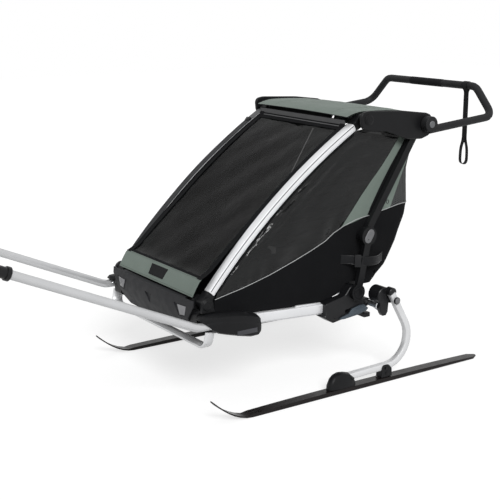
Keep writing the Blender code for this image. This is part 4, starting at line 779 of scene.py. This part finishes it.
def side_skin(y, z, lift=0.0):
    """Point on the bulged side cloth, from its length position and height."""
    over = height_on(UPRIGHT_REAR, y) if y < UPRIGHT_REAR[-1][0] else 0.985
    room = (over - z) * 0.76
    low = z - height_on(SIDE_LOW, y)
    behind = height_on(REAR_EDGE, z) - y
    bulge = SIDE_BULGE * ease(room / 0.16 + 0.15) * ease(low / 0.12 + 0.1) * ease(behind / 0.12 + 0.1)
    return at(SIDE_X + bulge + lift, y, z)


def no_waves(u, v):
    """Cloth without waves."""
    return 0.0


def side_patch(name, lower, upper, counts, material, lift=0.0, thickness=CLOTH, waves=no_waves):
    """Part of the side cloth between two lines, each a function of a share from 0 to 1."""
    def point(u, v):
        """Point between the two lines."""
        y, z = (mix(a, b, v) for a, b in zip(lower(u), upper(u)))
        return side_skin(y, z, lift + waves(u, v))
    return grid(name, field(counts, point), material, thickness)


def line_at(marks, y):
    """Point (y, z) of a broken line at a length position."""
    return y, height_on(marks, y)


def window_high(u):
    """Upper edge of the side window: along the upright, then under the top bracket."""
    lift = -UPRIGHT_DEPTH / 2 - 0.003
    if u < WINDOW_TURN:
        return tuple(upright_arc(mix(0.045, WINDOW_TOP, u / WINDOW_TURN), lift))
    share = (u - WINDOW_TURN) / (1 - WINDOW_TURN)
    y, z = (mix(a, b, share) for a, b in zip(upright_arc(WINDOW_TOP, lift), WINDOW_CORNER))
    return y, z + 0.014 * hump(share) ** 0.4


def window_waves(u, v):
    """Gathers of the side window along its seam and slack folds towards its top."""
    gather = 0.0058 * math.sin(58 * u + 9 * math.sin(5 * u)) * math.exp(-v / 0.13) * ease(v / 0.03)
    top = 0.0070 * wobble(9 * u + 4 * v, 15 * v - 3 * u, 1.3) * ease((v - 0.50) / 0.35) * ease((1 - v) / 0.08)
    middle = 0.0030 * wobble(5 * u, 4 * v + 5 * u, 0.2) * math.sin(math.pi * v)
    return gather * ease(u / 0.06) * ease((1 - u) / 0.06) + (top + middle) * hump(u) ** 0.5


def skirt_waves(u, v):
    """Slack of the black cloth below the seam."""
    return 0.0016 * wobble(6 * u, 4 * v + 3 * u, 2.0) * math.sin(math.pi * v)


def binding_point(u, v):
    """Point of the binding along the upright's rear face."""
    y, z = upright_arc(mix(0.03, 0.985, v), -UPRIGHT_DEPTH / 2 - mix(0.0012, 0.0125, u))
    return at(0.3135 - 0.006 * u, y, z)


def rear_strip_edge(u):
    """Rear edge of the black strip behind the green one."""
    z = along(STRIP_RIGHT, u)[1]
    return height_on(REAR_EDGE, z) + 0.006, z


def make_side_cloth():
    """Side cloth: black skirt, tinted window, green strip, pale piping and a black binding."""
    window = side_patch("side_window", lambda u: line_at(SEAM, mix(0.084, 0.665, u)), window_high,
                        (34, 56), "side_film", -0.0008, FILM, window_waves)
    windows = both_sides(window, "chassis", "side_panel", SIDE_FOLD)
    skirt = side_patch("side_skirt", lambda u: line_at(SIDE_LOW, mix(0.078, 0.742, u)),
                       lambda u: line_at(SEAM, mix(0.078, 0.806, u)), (14, 48), "cloth", waves=skirt_waves)
    skirts = both_sides(skirt, "chassis", fold=SIDE_FOLD)
    strip = side_patch("side_strip", lambda u: along(STRIP_LEFT, u), lambda u: along(STRIP_RIGHT, u),
                       (8, 30), "green", 0.0006)
    strips = both_sides(strip, "chassis", fold=SIDE_FOLD)
    rear = side_patch("side_rear_strip", lambda u: along(STRIP_RIGHT, u), rear_strip_edge, (2, 20), "cloth")
    rears = both_sides(rear, "chassis", fold=SIDE_FOLD)
    seam = [side_skin(*line_at(SEAM, y), 0.0012) for y in shares(60, 0.080, 0.812)]
    piping = tube("side_piping", seam, PIPING_R, "piping")
    pipings = both_sides(piping, "chassis", fold=SIDE_FOLD)
    binding = grid("side_binding", field((24, 2), binding_point), "cloth", 0.0020)
    bindings = both_sides(binding, "front_frame")
    upright = ["front_upright_{}"]
    bracket = ["top_bracket_{}"]
    hung = ((windows, upright + bracket), (skirts, ["side_rail_{}"] + upright), (strips, bracket),
            (rears, bracket), (bindings, upright))
    for pieces, nodes in hung:
        for piece, side, cord in zip(pieces, ("left", "right"), pipings):
            going = [cord] if pieces is skirts else []
            sheet(piece, [node.format(side) for node in nodes], going)
    cords = (("upright_cord", UPRIGHT_OUTER_X - 0.0010, 0.0088, 0.0018),
             ("upright_edge_cord", UPRIGHT_OUTER_X - UPRIGHT_WIDTH - 0.0010, 0.0125, 0.0022))
    for name, x, lift, radius in cords:
        line = [at(x, *upright_arc(share, lift)) for share in shares(30, 0.004, 0.996)]
        both_sides(tube(name, line, radius, "cloth"), "front_frame")


# Back cloth, with its reach as (z, y)

BACK_REACH = [(0.300, 0.800), (0.358, 0.830), (0.374, 0.858), (0.397, 0.891), (0.424, 0.926), (0.472, 0.954),
              (0.567, 1.003), (0.619, 1.022), (0.668, 1.030), (0.812, 1.026), (0.8645, 1.030), (0.930, 1.040),
              (1.2, 1.05)]
BACK_HALF = 0.298
BACK_FRONT = 0.786
BAG_LOW = 0.360
NET_TOP = 0.912


def back_outline(z, lift=0.0):
    """Left half of the back cloth's line at a height, as (x, y)."""
    front = BACK_FRONT if z < 0.390 else height_on(REAR_EDGE, z) + 0.010
    rear = height_on(BACK_REACH, z)
    corner = min(0.050, (rear - front) * 0.5)
    line = [(BACK_HALF + lift, front), (BACK_HALF + 0.002 + lift, front + (rear - corner - front) * 0.5)]
    for angle in shares(8, 0.0, math.pi / 2):
        x = BACK_HALF - corner * 1.2 * (1 - math.cos(angle)) + lift * math.cos(angle)
        line.append((x, rear - corner + (corner + lift) * math.sin(angle)))
    return line + [(BACK_HALF * 0.30, rear + 0.004 + lift), (0.0, rear + 0.006 + lift)]


def back_point(z, t, lift=0.0):
    """Point on the back cloth; t runs from the left edge, 0, round to the right edge, 1."""
    line = back_outline(z, lift)
    x, y = along(line + [(-x, y) for x, y in reversed(line[:-1])], t)
    return at(x, y, z)


def back_patch(name, low, high, start, end, counts, material, waves=no_waves, lift=0.0):
    """Part of the back cloth between two heights, functions of t, and two places round it."""
    def point(u, v):
        """Point between the two heights and places."""
        t = mix(start(v), end(v), u)
        return back_point(mix(low(t), high(t), v), t, lift + waves(t, v))
    return grid(name, field(counts, point), material)


def bag_rim(t):
    """Height of the storage bag's piped rim round the back."""
    return 0.643 + 0.022 * ease(min(t, 1 - t) / 0.16)


def bag_waves(t, v):
    """Slack folds of the storage bag."""
    slack = 0.0030 * wobble(9 * t, 5 * v, 0.7) + 0.0022 * math.sin(26 * t + 3 * v)
    return -abs(slack) * hump(v) ** 0.6 * ease(min(t, 1 - t) / 0.05)


def on_back(item, node=None):
    """Puts a piece of the back cloth on the chassis, with a mesh of its own."""
    return keep(item, "chassis", node, BACK_CLOTH_FOLD)


def make_back():
    """Back cloth: storage bag below, net above between green strips, pale piping between them."""
    bag = back_patch("storage_bag", lambda t: BAG_LOW, bag_rim, lambda v: 0.0, lambda v: 1.0, (20, 84),
                     "cloth", bag_waves)
    on_back(bag, node="back_panel")
    rim = [back_point(bag_rim(t), t, 0.0018) for t in shares(90)]
    piping = on_back(tube("storage_bag_piping", rim, PIPING_R, "piping"))
    inner = (lambda v: mix(0.085, 0.060, v), lambda v: 1 - mix(0.085, 0.060, v))
    for word, edge, end in (("left", 0.0, inner[0]), ("right", 1.0, inner[1])):
        strip = back_patch("back_strip", bag_rim, lambda t: NET_TOP, lambda v, edge=edge: edge, end, (16, 5),
                           "green", lift=0.0006)
        strip.name = "back_strip_" + word
        sheet(on_back(strip), ["top_bracket_" + word])
    vent = back_patch("back_vent_net", bag_rim, lambda t: NET_TOP, lambda v: mix(0.080, 0.056, v),
                      lambda v: 1 - mix(0.080, 0.056, v), (14, 60), "net",
                      lambda t, v: -0.002 * math.sin(math.pi * v))
    on_back(vent)
    ribs = []
    for t in (0.34, 0.66):
        rib = [back_point(z, t, 0.0014) for z in shares(12, bag_rim(t), 0.910)]
        ribs.append(ribbon("rib", rib, (1, 0, 0), 0.022, CLOTH, "cloth"))
    ribs = on_back(joined("back_ribs", ribs))
    sheet(vent, ["top_bracket_left", "top_bracket_right"], [ribs])
    runs = [[back_point(z, t, 0.0010) for z in shares(30, 0.37, bag_rim(t) - 0.004)] for t in (0.30, 0.70)]
    runs.append([back_point(0.46, t, 0.0008) for t in shares(60, 0.24, 0.76)])
    seams = on_back(joined("storage_bag_seams", [tube("seam", run, 0.0010, "flap", 6) for run in runs]))
    sheet(bag, ["rear_post_left", "rear_post_right"], [piping, seams])


# Roof, with its middle line as (y, z)

ROOF = [(0.684, 1.027), (0.700, 1.0325), (0.715, 1.037), (0.732, 1.0405), (0.750, 1.0430), (0.780, 1.0434),
        (0.810, 1.0430), (0.845, 1.0420), (0.880, 1.0405), (0.915, 1.0382), (0.950, 1.0355), (0.983, 1.0312),
        (1.015, 1.0255), (1.040, 1.0182), (1.060, 1.009), (1.072, 0.999), (1.078, 0.987), (1.078, 0.973),
        (1.074, 0.960), (1.062, 0.932)]
ROOF_HALF = 0.300
ROOF_REAR_HALF = 0.258


def roof_point(u, v, lift=0.0):
    """Point of the roof cloth: u across from -1 to 1, v from the front edge to the rear edge."""
    y, z = along(ROOF, v)
    half = ROOF_REAR_HALF
    if z >= 1.0:
        half = mix(ROOF_HALF, ROOF_REAR_HALF, ease((y - 1.010) / 0.045))
    crown = 0.0035 * (1 - u * u)
    slack = 0.0010 * wobble(4 * u, 6 * v, 0.9) * (1 - u ** 4) * math.sin(math.pi * v)
    return at(half * u, y, z + crown + slack + lift)


def make_roof():
    """Canopy roof with bound edges and two seams."""
    rows = field((44, 28), lambda u, v: roof_point(2 * u - 1, v))
    canopy = keep(grid("canopy_cloth", rows, "green", BOUND_CLOTH), "top_frame", "canopy_roof")
    runs = [([roof_point(side, v, 0.0004) for v in shares(50)], 0.0020) for side in (0.995, -0.995)]
    for v, radius in ((0.0, 0.0018), (1.0, 0.0020)):
        runs.append(([roof_point(u, v) for u in shares(30, -1, 1)], radius))
    binding = joined("canopy_binding", [tube("edge", run, radius, "cloth") for run, radius in runs])
    keep(binding, "top_frame")
    runs = [[roof_point(u, v, 0.0014) for v in shares(50, 0.03, 0.97)] for u in (-0.62, 0.62)]
    seams = joined("canopy_seams", [tube("seam", run, 0.0007, "green", 6) for run in runs])
    keep(seams, "top_frame")
    rails = ["top_bracket_left", "top_bracket_right", "top_cross_tube", "rear_cross_tube"]
    sheet(canopy, rails, [binding, seams])


# Seat

# Seat plane and backrest plane, as (y, z)
SEAT_FRONT = (0.470, 0.337)
SEAT_SLOPE = math.radians(1.5)
BACK_LOW = (0.800, 0.410)
BACK_TOP = (0.975, 0.890)
# Middle of each seat across the cabin, and its harness, measured up the backrest
SEAT_X = 0.128
STRAP_TOP = 0.410
STRAP_RUN = 0.315
CUSHION_CELLS = (22, 36)
PUFF_FRAMES = 14
PUFF = {"quality": 4, "mass": 0.15, "tension_stiffness": 12, "compression_stiffness": 12,
        "bending_stiffness": 0.4, "use_pressure": True}
SEWN_REACH = 0.0075


def cushion_mesh(name, matrix, half, length, thick, shrink):
    """Plain crowned cushion in a frame, slightly smaller than its final shape."""
    bm = bmesh.new()
    rows, columns = CUSHION_CELLS
    top = []
    bottom = []
    for i in range(rows + 1):
        v = 2 * i / rows - 1
        top.append([])
        bottom.append([])
        for j in range(columns + 1):
            u = 2 * j / columns - 1
            fill = max(0.0, (1 - abs(u) ** 9) * (1 - abs(v) ** 7)) ** 0.5
            x = (half - shrink) * u
            y = length / 2 + (length / 2 - shrink) * v
            rise = shrink + (thick - 2 * shrink) * fill * (0.80 + 0.14 * (1 - u * u))
            top[-1].append(bm.verts.new(matrix @ Vector((x, y, max(rise, shrink)))))
            if 0 < i < rows and 0 < j < columns:
                bottom[-1].append(bm.verts.new(matrix @ Vector((x, y, 0.0006))))
            else:
                bottom[-1].append(top[-1][-1])
    for i in range(rows):
        for j in range(columns):
            bm.faces.new((top[i][j], top[i][j + 1], top[i + 1][j + 1], top[i + 1][j]))
            bm.faces.new((bottom[i][j], bottom[i + 1][j], bottom[i + 1][j + 1], bottom[i][j + 1]))
    bmesh.ops.recalc_face_normals(bm, faces=bm.faces)
    return from_bmesh(name, bm, "pad", 70.0)


def bake(item):
    """Applies a piece's modifiers to its mesh."""
    graph = bpy.context.evaluated_depsgraph_get()
    mesh = bpy.data.meshes.new_from_object(item.evaluated_get(graph))
    item.modifiers.clear()
    item.data = mesh


def puff(item, pressure, cap):
    """Blows a cushion up with simulated cloth and keeps each point within a cap of where it was."""
    remesh = item.modifiers.new("remesh", "REMESH")
    remesh.mode = "VOXEL"
    remesh.voxel_size = 0.0065
    bake(item)
    rest = [v.co.copy() for v in item.data.vertices]
    cloth = item.modifiers.new("cloth", "CLOTH")
    for key, value in PUFF.items():
        setattr(cloth.settings, key, value)
    cloth.settings.uniform_pressure_force = pressure
    cloth.settings.effector_weights.gravity = 0.0
    cloth.point_cache.frame_start = 1
    cloth.point_cache.frame_end = PUFF_FRAMES
    scene = bpy.context.scene
    for number in range(1, PUFF_FRAMES + 1):
        scene.frame_set(number)
    graph = bpy.context.evaluated_depsgraph_get()
    moved = [v.co.copy() for v in item.evaluated_get(graph).data.vertices]
    item.modifiers.clear()
    scene.frame_set(1)
    for vertex, before, after in zip(item.data.vertices, rest, moved):
        step = after - before
        if step.length > cap:
            step = step.normalized() * cap
        vertex.co = before + step
    item.data.shade_smooth()
    return item


def sew(item, matrix, lines, depth):
    """Draws the cushion's face in along sewn lines, functions of local x and y, then refines it."""
    back = matrix.inverted()
    for vertex in item.data.vertices:
        local = back @ vertex.co
        if local.z < 0.010:
            continue
        pull = sum(math.exp(-(line(local.x, local.y) / SEWN_REACH) ** 2) for line in lines)
        local.z -= depth * min(1.0, pull)
        vertex.co = matrix @ local
    item.data.update()
    subdivision = item.modifiers.new("fine", "SUBSURF")
    subdivision.levels = 1
    subdivision.render_levels = 1
    bake(item)
    item.data.shade_smooth()


def make_seat():
    """Seat cushion and backrest: blown up by simulated cloth, then sewn."""
    low = Matrix.Translation(at(0, *SEAT_FRONT)) @ Matrix.Rotation(SEAT_SLOPE, 4, "X")
    lean = math.atan2(BACK_TOP[1] - BACK_LOW[1], BACK_TOP[0] - BACK_LOW[0])
    high = Matrix.Translation(at(0, *BACK_LOW)) @ Matrix.Rotation(lean, 4, "X")
    centre = [lambda x, y: abs(x) - 0.020]
    seat = puff(cushion_mesh("seat_pad", low, 0.236, 0.290, 0.052, 0.005), 4.0, 0.006)
    sew(seat, low, centre + [lambda x, y: y - 0.055, lambda x, y: abs(abs(x) - SEAT_X) - 0.050], 0.009)
    keep(seat, "chassis", "seat_cushion")
    rest = puff(cushion_mesh("back_pad", high, 0.240, 0.5109, 0.038, 0.004), 4.0, 0.005)
    level = [lambda x, y, seam=seam: y - seam for seam in (0.085, 0.235, 0.360)]
    sew(rest, high, centre + level + [lambda x, y: abs(x) - 0.205], 0.007)
    rest.data.materials.clear()
    rest.data.materials.append(backrest_cloth())
    keep(rest, "chassis", "backrest", BACKREST_FOLD)
    make_harness(high)


def make_harness(high):
    """Two harnesses: shoulder straps with pads, a buckle and a crotch strap for each seat."""
    straps = []
    pads = []
    buckles = []
    turn = high.to_3x3().to_4x4()
    for seat_x in (SEAT_X, -SEAT_X):
        for side in (1, -1):
            ends = (seat_x + side * 0.052, seat_x + side * 0.020)
            path = []
            for t in shares(24):
                lift = 0.043 + 0.010 * math.sin(math.pi * t)
                path.append(high @ Vector((mix(*ends, ease(t)), STRAP_TOP - STRAP_RUN * t, lift)))
            straps.append(ribbon("strap", path, (1, 0, 0), 0.024, CLOTH, "webbing"))
            pads.append(shoulder_pad(high, ends))
        path = [high @ Vector((seat_x, mix(0.088, 0.012, t), 0.058 + 0.012 * t)) for t in shares(12)]
        straps.append(ribbon("strap", path, (1, 0, 0), 0.026, CLOTH, "webbing"))
        placed = Matrix.Translation(high @ Vector((seat_x, 0.092, 0.060))) @ turn
        buckles.append(rounded_box("buckle", placed, (0.040, 0.050, 0.014), 0.0055, 3, "satin", 50.0))
    keep(joined("harness_straps", straps), "chassis", fold=BACKREST_FOLD)
    sleeves = joined("harness_pads", pads)
    keep(sleeves, "chassis", fold=BACKREST_FOLD)
    keep(joined("harness_buckles", buckles), "chassis", fold=BACKREST_FOLD)


def shoulder_pad(high, ends):
    """Padded sleeve round a shoulder strap that runs between two values of x."""
    rings = []
    for t in shares(12):
        place = mix(0.365, 0.235, t)
        share = (STRAP_TOP - place) / STRAP_RUN
        x = mix(*ends, ease(share))
        lift = 0.043 + 0.010 * math.sin(math.pi * share)
        swell = max(0.12, math.sin(math.pi * mix(0.04, 0.96, t)) ** 0.35)
        ring = []
        for n in range(16):
            cos = math.cos(2 * math.pi * n / 16)
            sin = math.sin(2 * math.pi * n / 16)
            a = math.copysign(abs(cos) ** 0.7, cos) * 0.021 * (0.75 + 0.25 * swell)
            b = math.copysign(abs(sin) ** 0.8, sin) * 0.0065 * swell
            ring.append(high @ Vector((x + a, place, lift + b)))
        rings.append(ring)
    return solid("pad", rings, "strap_pad", smooth_angle=50.0)


# Wrist strap

STRAP_X = 0.220
STRAP_DROP = 0.332
STRAP_HOLE = 0.0178
STRAP_LOOP = 0.0150
STRAP_TURN = math.radians(-20)


def twisted(point, side):
    """Point of the hanging strap's edge, turned about the strap's own height below its seam."""
    middle = BAR[0] + SHIFT
    turn = STRAP_TURN * ease((BAR[1] - 0.19 - point.z) / 0.06)
    away = point.y - middle
    x = point.x + side * math.cos(turn) - away * math.sin(turn)
    return Vector((x, middle + side * math.sin(turn) + away * math.cos(turn), point.z))


def make_wrist_strap():
    """Webbing looped over the crossbar, sewn together below it and opening into a hand loop."""
    y, z = BAR
    drop = z - STRAP_DROP
    points = []
    for angle in shares(12, math.radians(-62), math.radians(242)):
        points.append((y + STRAP_HOLE * math.cos(angle), z + STRAP_HOLE * math.sin(angle)))
    half = STRAP_LOOP
    down = [(y - 0.0016, z - 0.028), (y - 0.0013, z - 0.060), (y - 0.0014, z - 0.120),
            (y - 0.0013, z - 0.190), (y - 0.0040, drop + 0.108), (y - half * 0.86, drop + 0.072),
            (y - half, drop + 0.040), (y - half * 0.94, drop + 0.014), (y - half * 0.45, drop + 0.0025),
            (y, drop + 0.0012)]
    up = [(2 * y - a, b) for a, b in reversed(down)]
    loop = smooth_line([(a, b, 0) for a, b in points + down + up[1:] + points[:1]], 3)
    path = [at(STRAP_X, a, b) for a, b, c in loop[:-1]]
    rows = [[twisted(point, side) for point in path] for side in (-0.0125, -0.0113, 0.0113, 0.0125)]
    strap = grid("wrist_strap_webbing", rows, "webbing", 0.0013, True)
    keep(strap, "strap", "wrist_strap")
    stitches = []
    for height in (z - 0.205, z - 0.060):
        for k in range(5):
            for sign in (1, -1):
                for rise in (0.0, 0.012):
                    start = at(0.2125 + 0.0032 * k, y + sign * 0.0026, height + rise)
                    run = [start, start + Vector((0.0022, 0, 0))]
                    stitches.append(tube("stitch", run, 0.0005, "flap", 5))
    keep(joined("wrist_strap_stitches", stitches), "strap")


# Small pieces

# Reflector's corners as (x, z), and the slanted floor of its recess
LENS = [(0.2020, 0.3860), (0.2580, 0.3885), (0.2480, 0.3530), (0.2190, 0.3500)]
RECESS_FLOOR = -0.0190
RECESS_SLOPE = 0.0476
RECESS_START = 0.140


def make_bumper_reflectors():
    """Grey reflectors on the slanted floors of the bumper's outer recesses."""
    lenses = []
    for sign in (1, -1):
        layers = []
        for lift in (0.0002, 0.0030):
            floor = RECESS_FLOOR - lift
            layers.append([at(sign * x, floor + RECESS_SLOPE * (x - RECESS_START), z) for x, z in LENS])
        lenses.append(solid("lens", layers, "pale_lens", edge=0.0008))
    keep(joined("bumper_reflectors", lenses), "chassis")


def make_disc(name, x, centre, radius, body):
    """Low turned disc with a rim, on the outside of a joint."""
    thick = 0.0016
    profile = [(0.0, radius), (thick, radius), (thick + 0.0004, radius - 0.0008),
               (thick + 0.0004, radius - 0.0026), (thick - 0.0004, radius - 0.0032),
               (thick - 0.0004, radius * 0.3), (thick, radius * 0.2), (thick, 0.0004)]
    both_sides(turned(name, profile, at(x, *centre), "black"), body)


def make_screw(name, x, centre, radius):
    """Button-head screw with a round socket."""
    head = [(0.0, radius), (radius * 0.35, radius * 0.96), (radius * 0.55, radius * 0.72),
            (radius * 0.58, radius * 0.48), (radius * 0.20, radius * 0.44), (radius * 0.18, 0.0002)]
    both_sides(turned(name, head, at(x, *centre), "satin", 24), "chassis")


def make_strut_strap():
    """Strap round the lower strut, with a ladder buckle, that holds the side cloth and the bag."""
    marks = [(0.3130, 0.655, 0.4800), (0.3250, 0.688, 0.4765), (0.3480, 0.718, 0.4730),
             (0.3606, 0.744, 0.4705), (0.3606, 0.780, 0.4670), (0.3460, 0.816, 0.4640),
             (0.3220, 0.848, 0.4620), (0.3035, 0.874, 0.4610)]
    path = [at(*p) for p in smooth_line(marks, 6)]
    strap = ribbon("strut_strap", path, (0, 0, 1), 0.034, 0.0018, "webbing")
    both_sides(strap, "chassis", fold=SIDE_FOLD)
    rims = []
    for lift in (0.0165, -0.0165):
        rims.append(tube("rim", [p + Vector((0, 0, lift)) for p in path], 0.0013, "satin"))
    both_sides(joined("strut_strap_rims", rims), "chassis", fold=SIDE_FOLD)
    placed = Matrix.Translation(at(0.3485, 0.712, 0.4730)) @ Matrix.Rotation(math.radians(-36), 4, "Z")
    buckle = rounded_box("strut_strap_buckle", placed, (0.0075, 0.026, 0.050), 0.0024, 2, "satin")
    both_sides(buckle, "chassis", fold=SIDE_FOLD)


def make_fittings():
    """Discs, screws, the leaf plate, the rail ridges, the posts' rings and the retaining pin."""
    make_disc("knuckle_disc", 0.3385, (0.030, 0.404), 0.0140, "chassis")
    make_disc("top_pivot_disc", 0.3575, (0.746, 1.019), 0.0150, "top_frame")
    make_disc("strut_foot_disc", 0.3582, (0.712, 0.347), 0.0215, "lower_struts")
    make_screw("boot_screw", 0.4690, (0.600, 0.050), 0.0055)
    make_screw("clamp_screw", 0.4680, (0.770, 0.055), 0.0050)
    for k, spot in enumerate(((0.612, 0.256), (0.640, 0.250), (0.740, 0.274))):
        make_screw("bracket_screw_" + str(k + 1), 0.3382, spot, 0.0045)
    leaf = [(0.631, 0.2480), (0.652, 0.2460), (0.725, 0.2530), (0.766, 0.2640), (0.774, 0.2720),
            (0.752, 0.2900), (0.728, 0.2900), (0.692, 0.2820), (0.676, 0.2640), (0.640, 0.2560)]
    both_sides(block("bracket_leaf", leaf, 0.3385, 0.3460, "leaf", 0.0006), "chassis")
    ridge = [(0.436, 0.3215), (0.560, 0.3150), (0.560, 0.3205), (0.445, 0.3270)]
    both_sides(block("rail_ridge", ridge, 0.3030, 0.3120, "rail", 0.0006), "chassis")
    ring = []
    for k in range(20):
        angle = 2 * math.pi * k / 20
        ring.append(at(0.3415, 0.862 + 0.0055 * math.cos(angle), 0.690 + 0.0075 * math.sin(angle)))
    both_sides(tube("post_ring", ring, 0.0013, "satin", closed=True), "rear_posts")
    marks = [(-0.3420, 0.024, 0.392), (-0.3435, 0.016, 0.378), (-0.3430, 0.006, 0.352),
             (-0.3420, -0.002, 0.338)]
    pin = smooth_line([at(*mark) for mark in marks], 6)
    keep(tube("retaining_pin", pin, 0.0022, "steel"), "chassis")


def make_button_marks():
    """Plain dot and groove on each knuckle button."""
    buttons = ("knuckle_button_left", "knuckle_button_right")
    y, z = KNUCKLE
    lean = (Vector(POST_PIVOT) - Vector(KNUCKLE)).normalized()
    spot = at(0.3611, y - lean.x * 0.014, z - lean.y * 0.014)
    dot = turned("knuckle_button_dot", [(0.0, 0.0022), (0.0006, 0.0022), (0.0006, 0.0003)], spot, "black", 16)
    both_sides(dot, buttons)
    arc = []
    for angle in shares(16, math.radians(20), math.radians(200)):
        arc.append(at(0.3612, y + 0.0105 * math.cos(angle), z + 0.0125 * math.sin(angle)))
    both_sides(tube("knuckle_button_groove", arc, 0.0006, "grey", 6), buttons)


def make_grip():
    """Softer grip sleeve on the handlebar's crossbar."""
    sleeve = [at(x, *BAR) for x in shares(24, -0.114, 0.079)]
    grip = keep(tube("handlebar_grip", sleeve, 0.0168, "grip", 28), "handlebar")


# Scene

# Sky and floor glow, with the share of them that lights the object
SKY_ON_OBJECT = 0.38
FLOOR_COLOUR = (0.45, 0.45, 0.45, 1)
FLOOR_GLOW = 0.68
FLOOR_SIZE = 14.0
FLOOR_DROP = 0.0006
SUN_STRENGTH = 2.5
SUN_ANGLE = math.radians(24)
SUN_FROM = (2.8, -1.1, 2.1)
# The photograph's camera
LENS_MM = 77.18
SENSOR_MM = 36.0
CAMERA_EYE = (3.443, -1.916, 1.501)
CAMERA_BACK = (0.8016, -0.549, 0.2368)
CAMERA_RIGHT = (0.565, 0.825, 0.0)


def make_stage():
    """Pale floor, soft light from all round, a large sun and the photograph's camera."""
    scene = bpy.context.scene
    bm = bmesh.new()
    bmesh.ops.create_grid(bm, x_segments=1, y_segments=1, size=FLOOR_SIZE)
    floor = from_bmesh("floor", bm, pale_floor())
    floor.location.z = -FLOOR_DROP
    world = bpy.data.worlds.new("studio")
    world.use_nodes = True
    scene.world = world
    background = world.node_tree.nodes["Background"]
    feed(background, "Color", (1.0, 1.0, 1.0, 1))
    seen = seen_directly(world.node_tree)
    feed(background, "Strength", ranged(world.node_tree, seen, SKY_ON_OBJECT, 1.0, 0.0, 1.0))
    sun = bpy.data.lights.new("key", "SUN")
    sun.energy = SUN_STRENGTH
    sun.angle = SUN_ANGLE
    lamp = bpy.data.objects.new("key", sun)
    lamp.rotation_euler = Vector(SUN_FROM).to_track_quat("Z", "Y").to_euler()
    scene.collection.objects.link(lamp)
    camera_data = bpy.data.cameras.new("camera")
    camera_data.sensor_width = SENSOR_MM
    camera_data.lens = LENS_MM
    camera = bpy.data.objects.new("camera", camera_data)
    back = Vector(CAMERA_BACK).normalized()
    up = back.cross(Vector(CAMERA_RIGHT).normalized()).normalized()
    turn = Matrix((up.cross(back), up, back)).transposed().to_4x4()
    camera.matrix_world = Matrix.Translation(at(*CAMERA_EYE)) @ turn
    scene.collection.objects.link(camera)
    scene.camera = camera
    scene.view_settings.view_transform = "Standard"


def seen_directly(tree):
    """1 for rays from the camera, reflections and clear pieces, 0 for the rest."""
    path = make(tree, "ShaderNodeLightPath").outputs
    total = calc(tree, "MAXIMUM", path["Is Camera Ray"], path["Is Glossy Ray"])
    return calc(tree, "MAXIMUM", total, path["Is Transmission Ray"])


def pale_floor():
    """White floor that keeps the object's shadow."""
    material, tree, shader = shader_of("pale_floor")
    feed(shader, "Base Color", FLOOR_COLOUR)
    feed(shader, "Roughness", 0.9)
    feed(shader, "Specular IOR Level", 0.0)
    feed(shader, "Emission Color", (1, 1, 1, 1))
    feed(shader, "Emission Strength", calc(tree, "MULTIPLY", seen_directly(tree), FLOOR_GLOW))
    return material


make_stage()
dress_nodes()
make_cover()
make_side_cloth()
make_back()
make_roof()
make_seat()
make_wrist_strap()
make_bumper_reflectors()
make_strut_strap()
make_fittings()
make_button_marks()
make_grip()
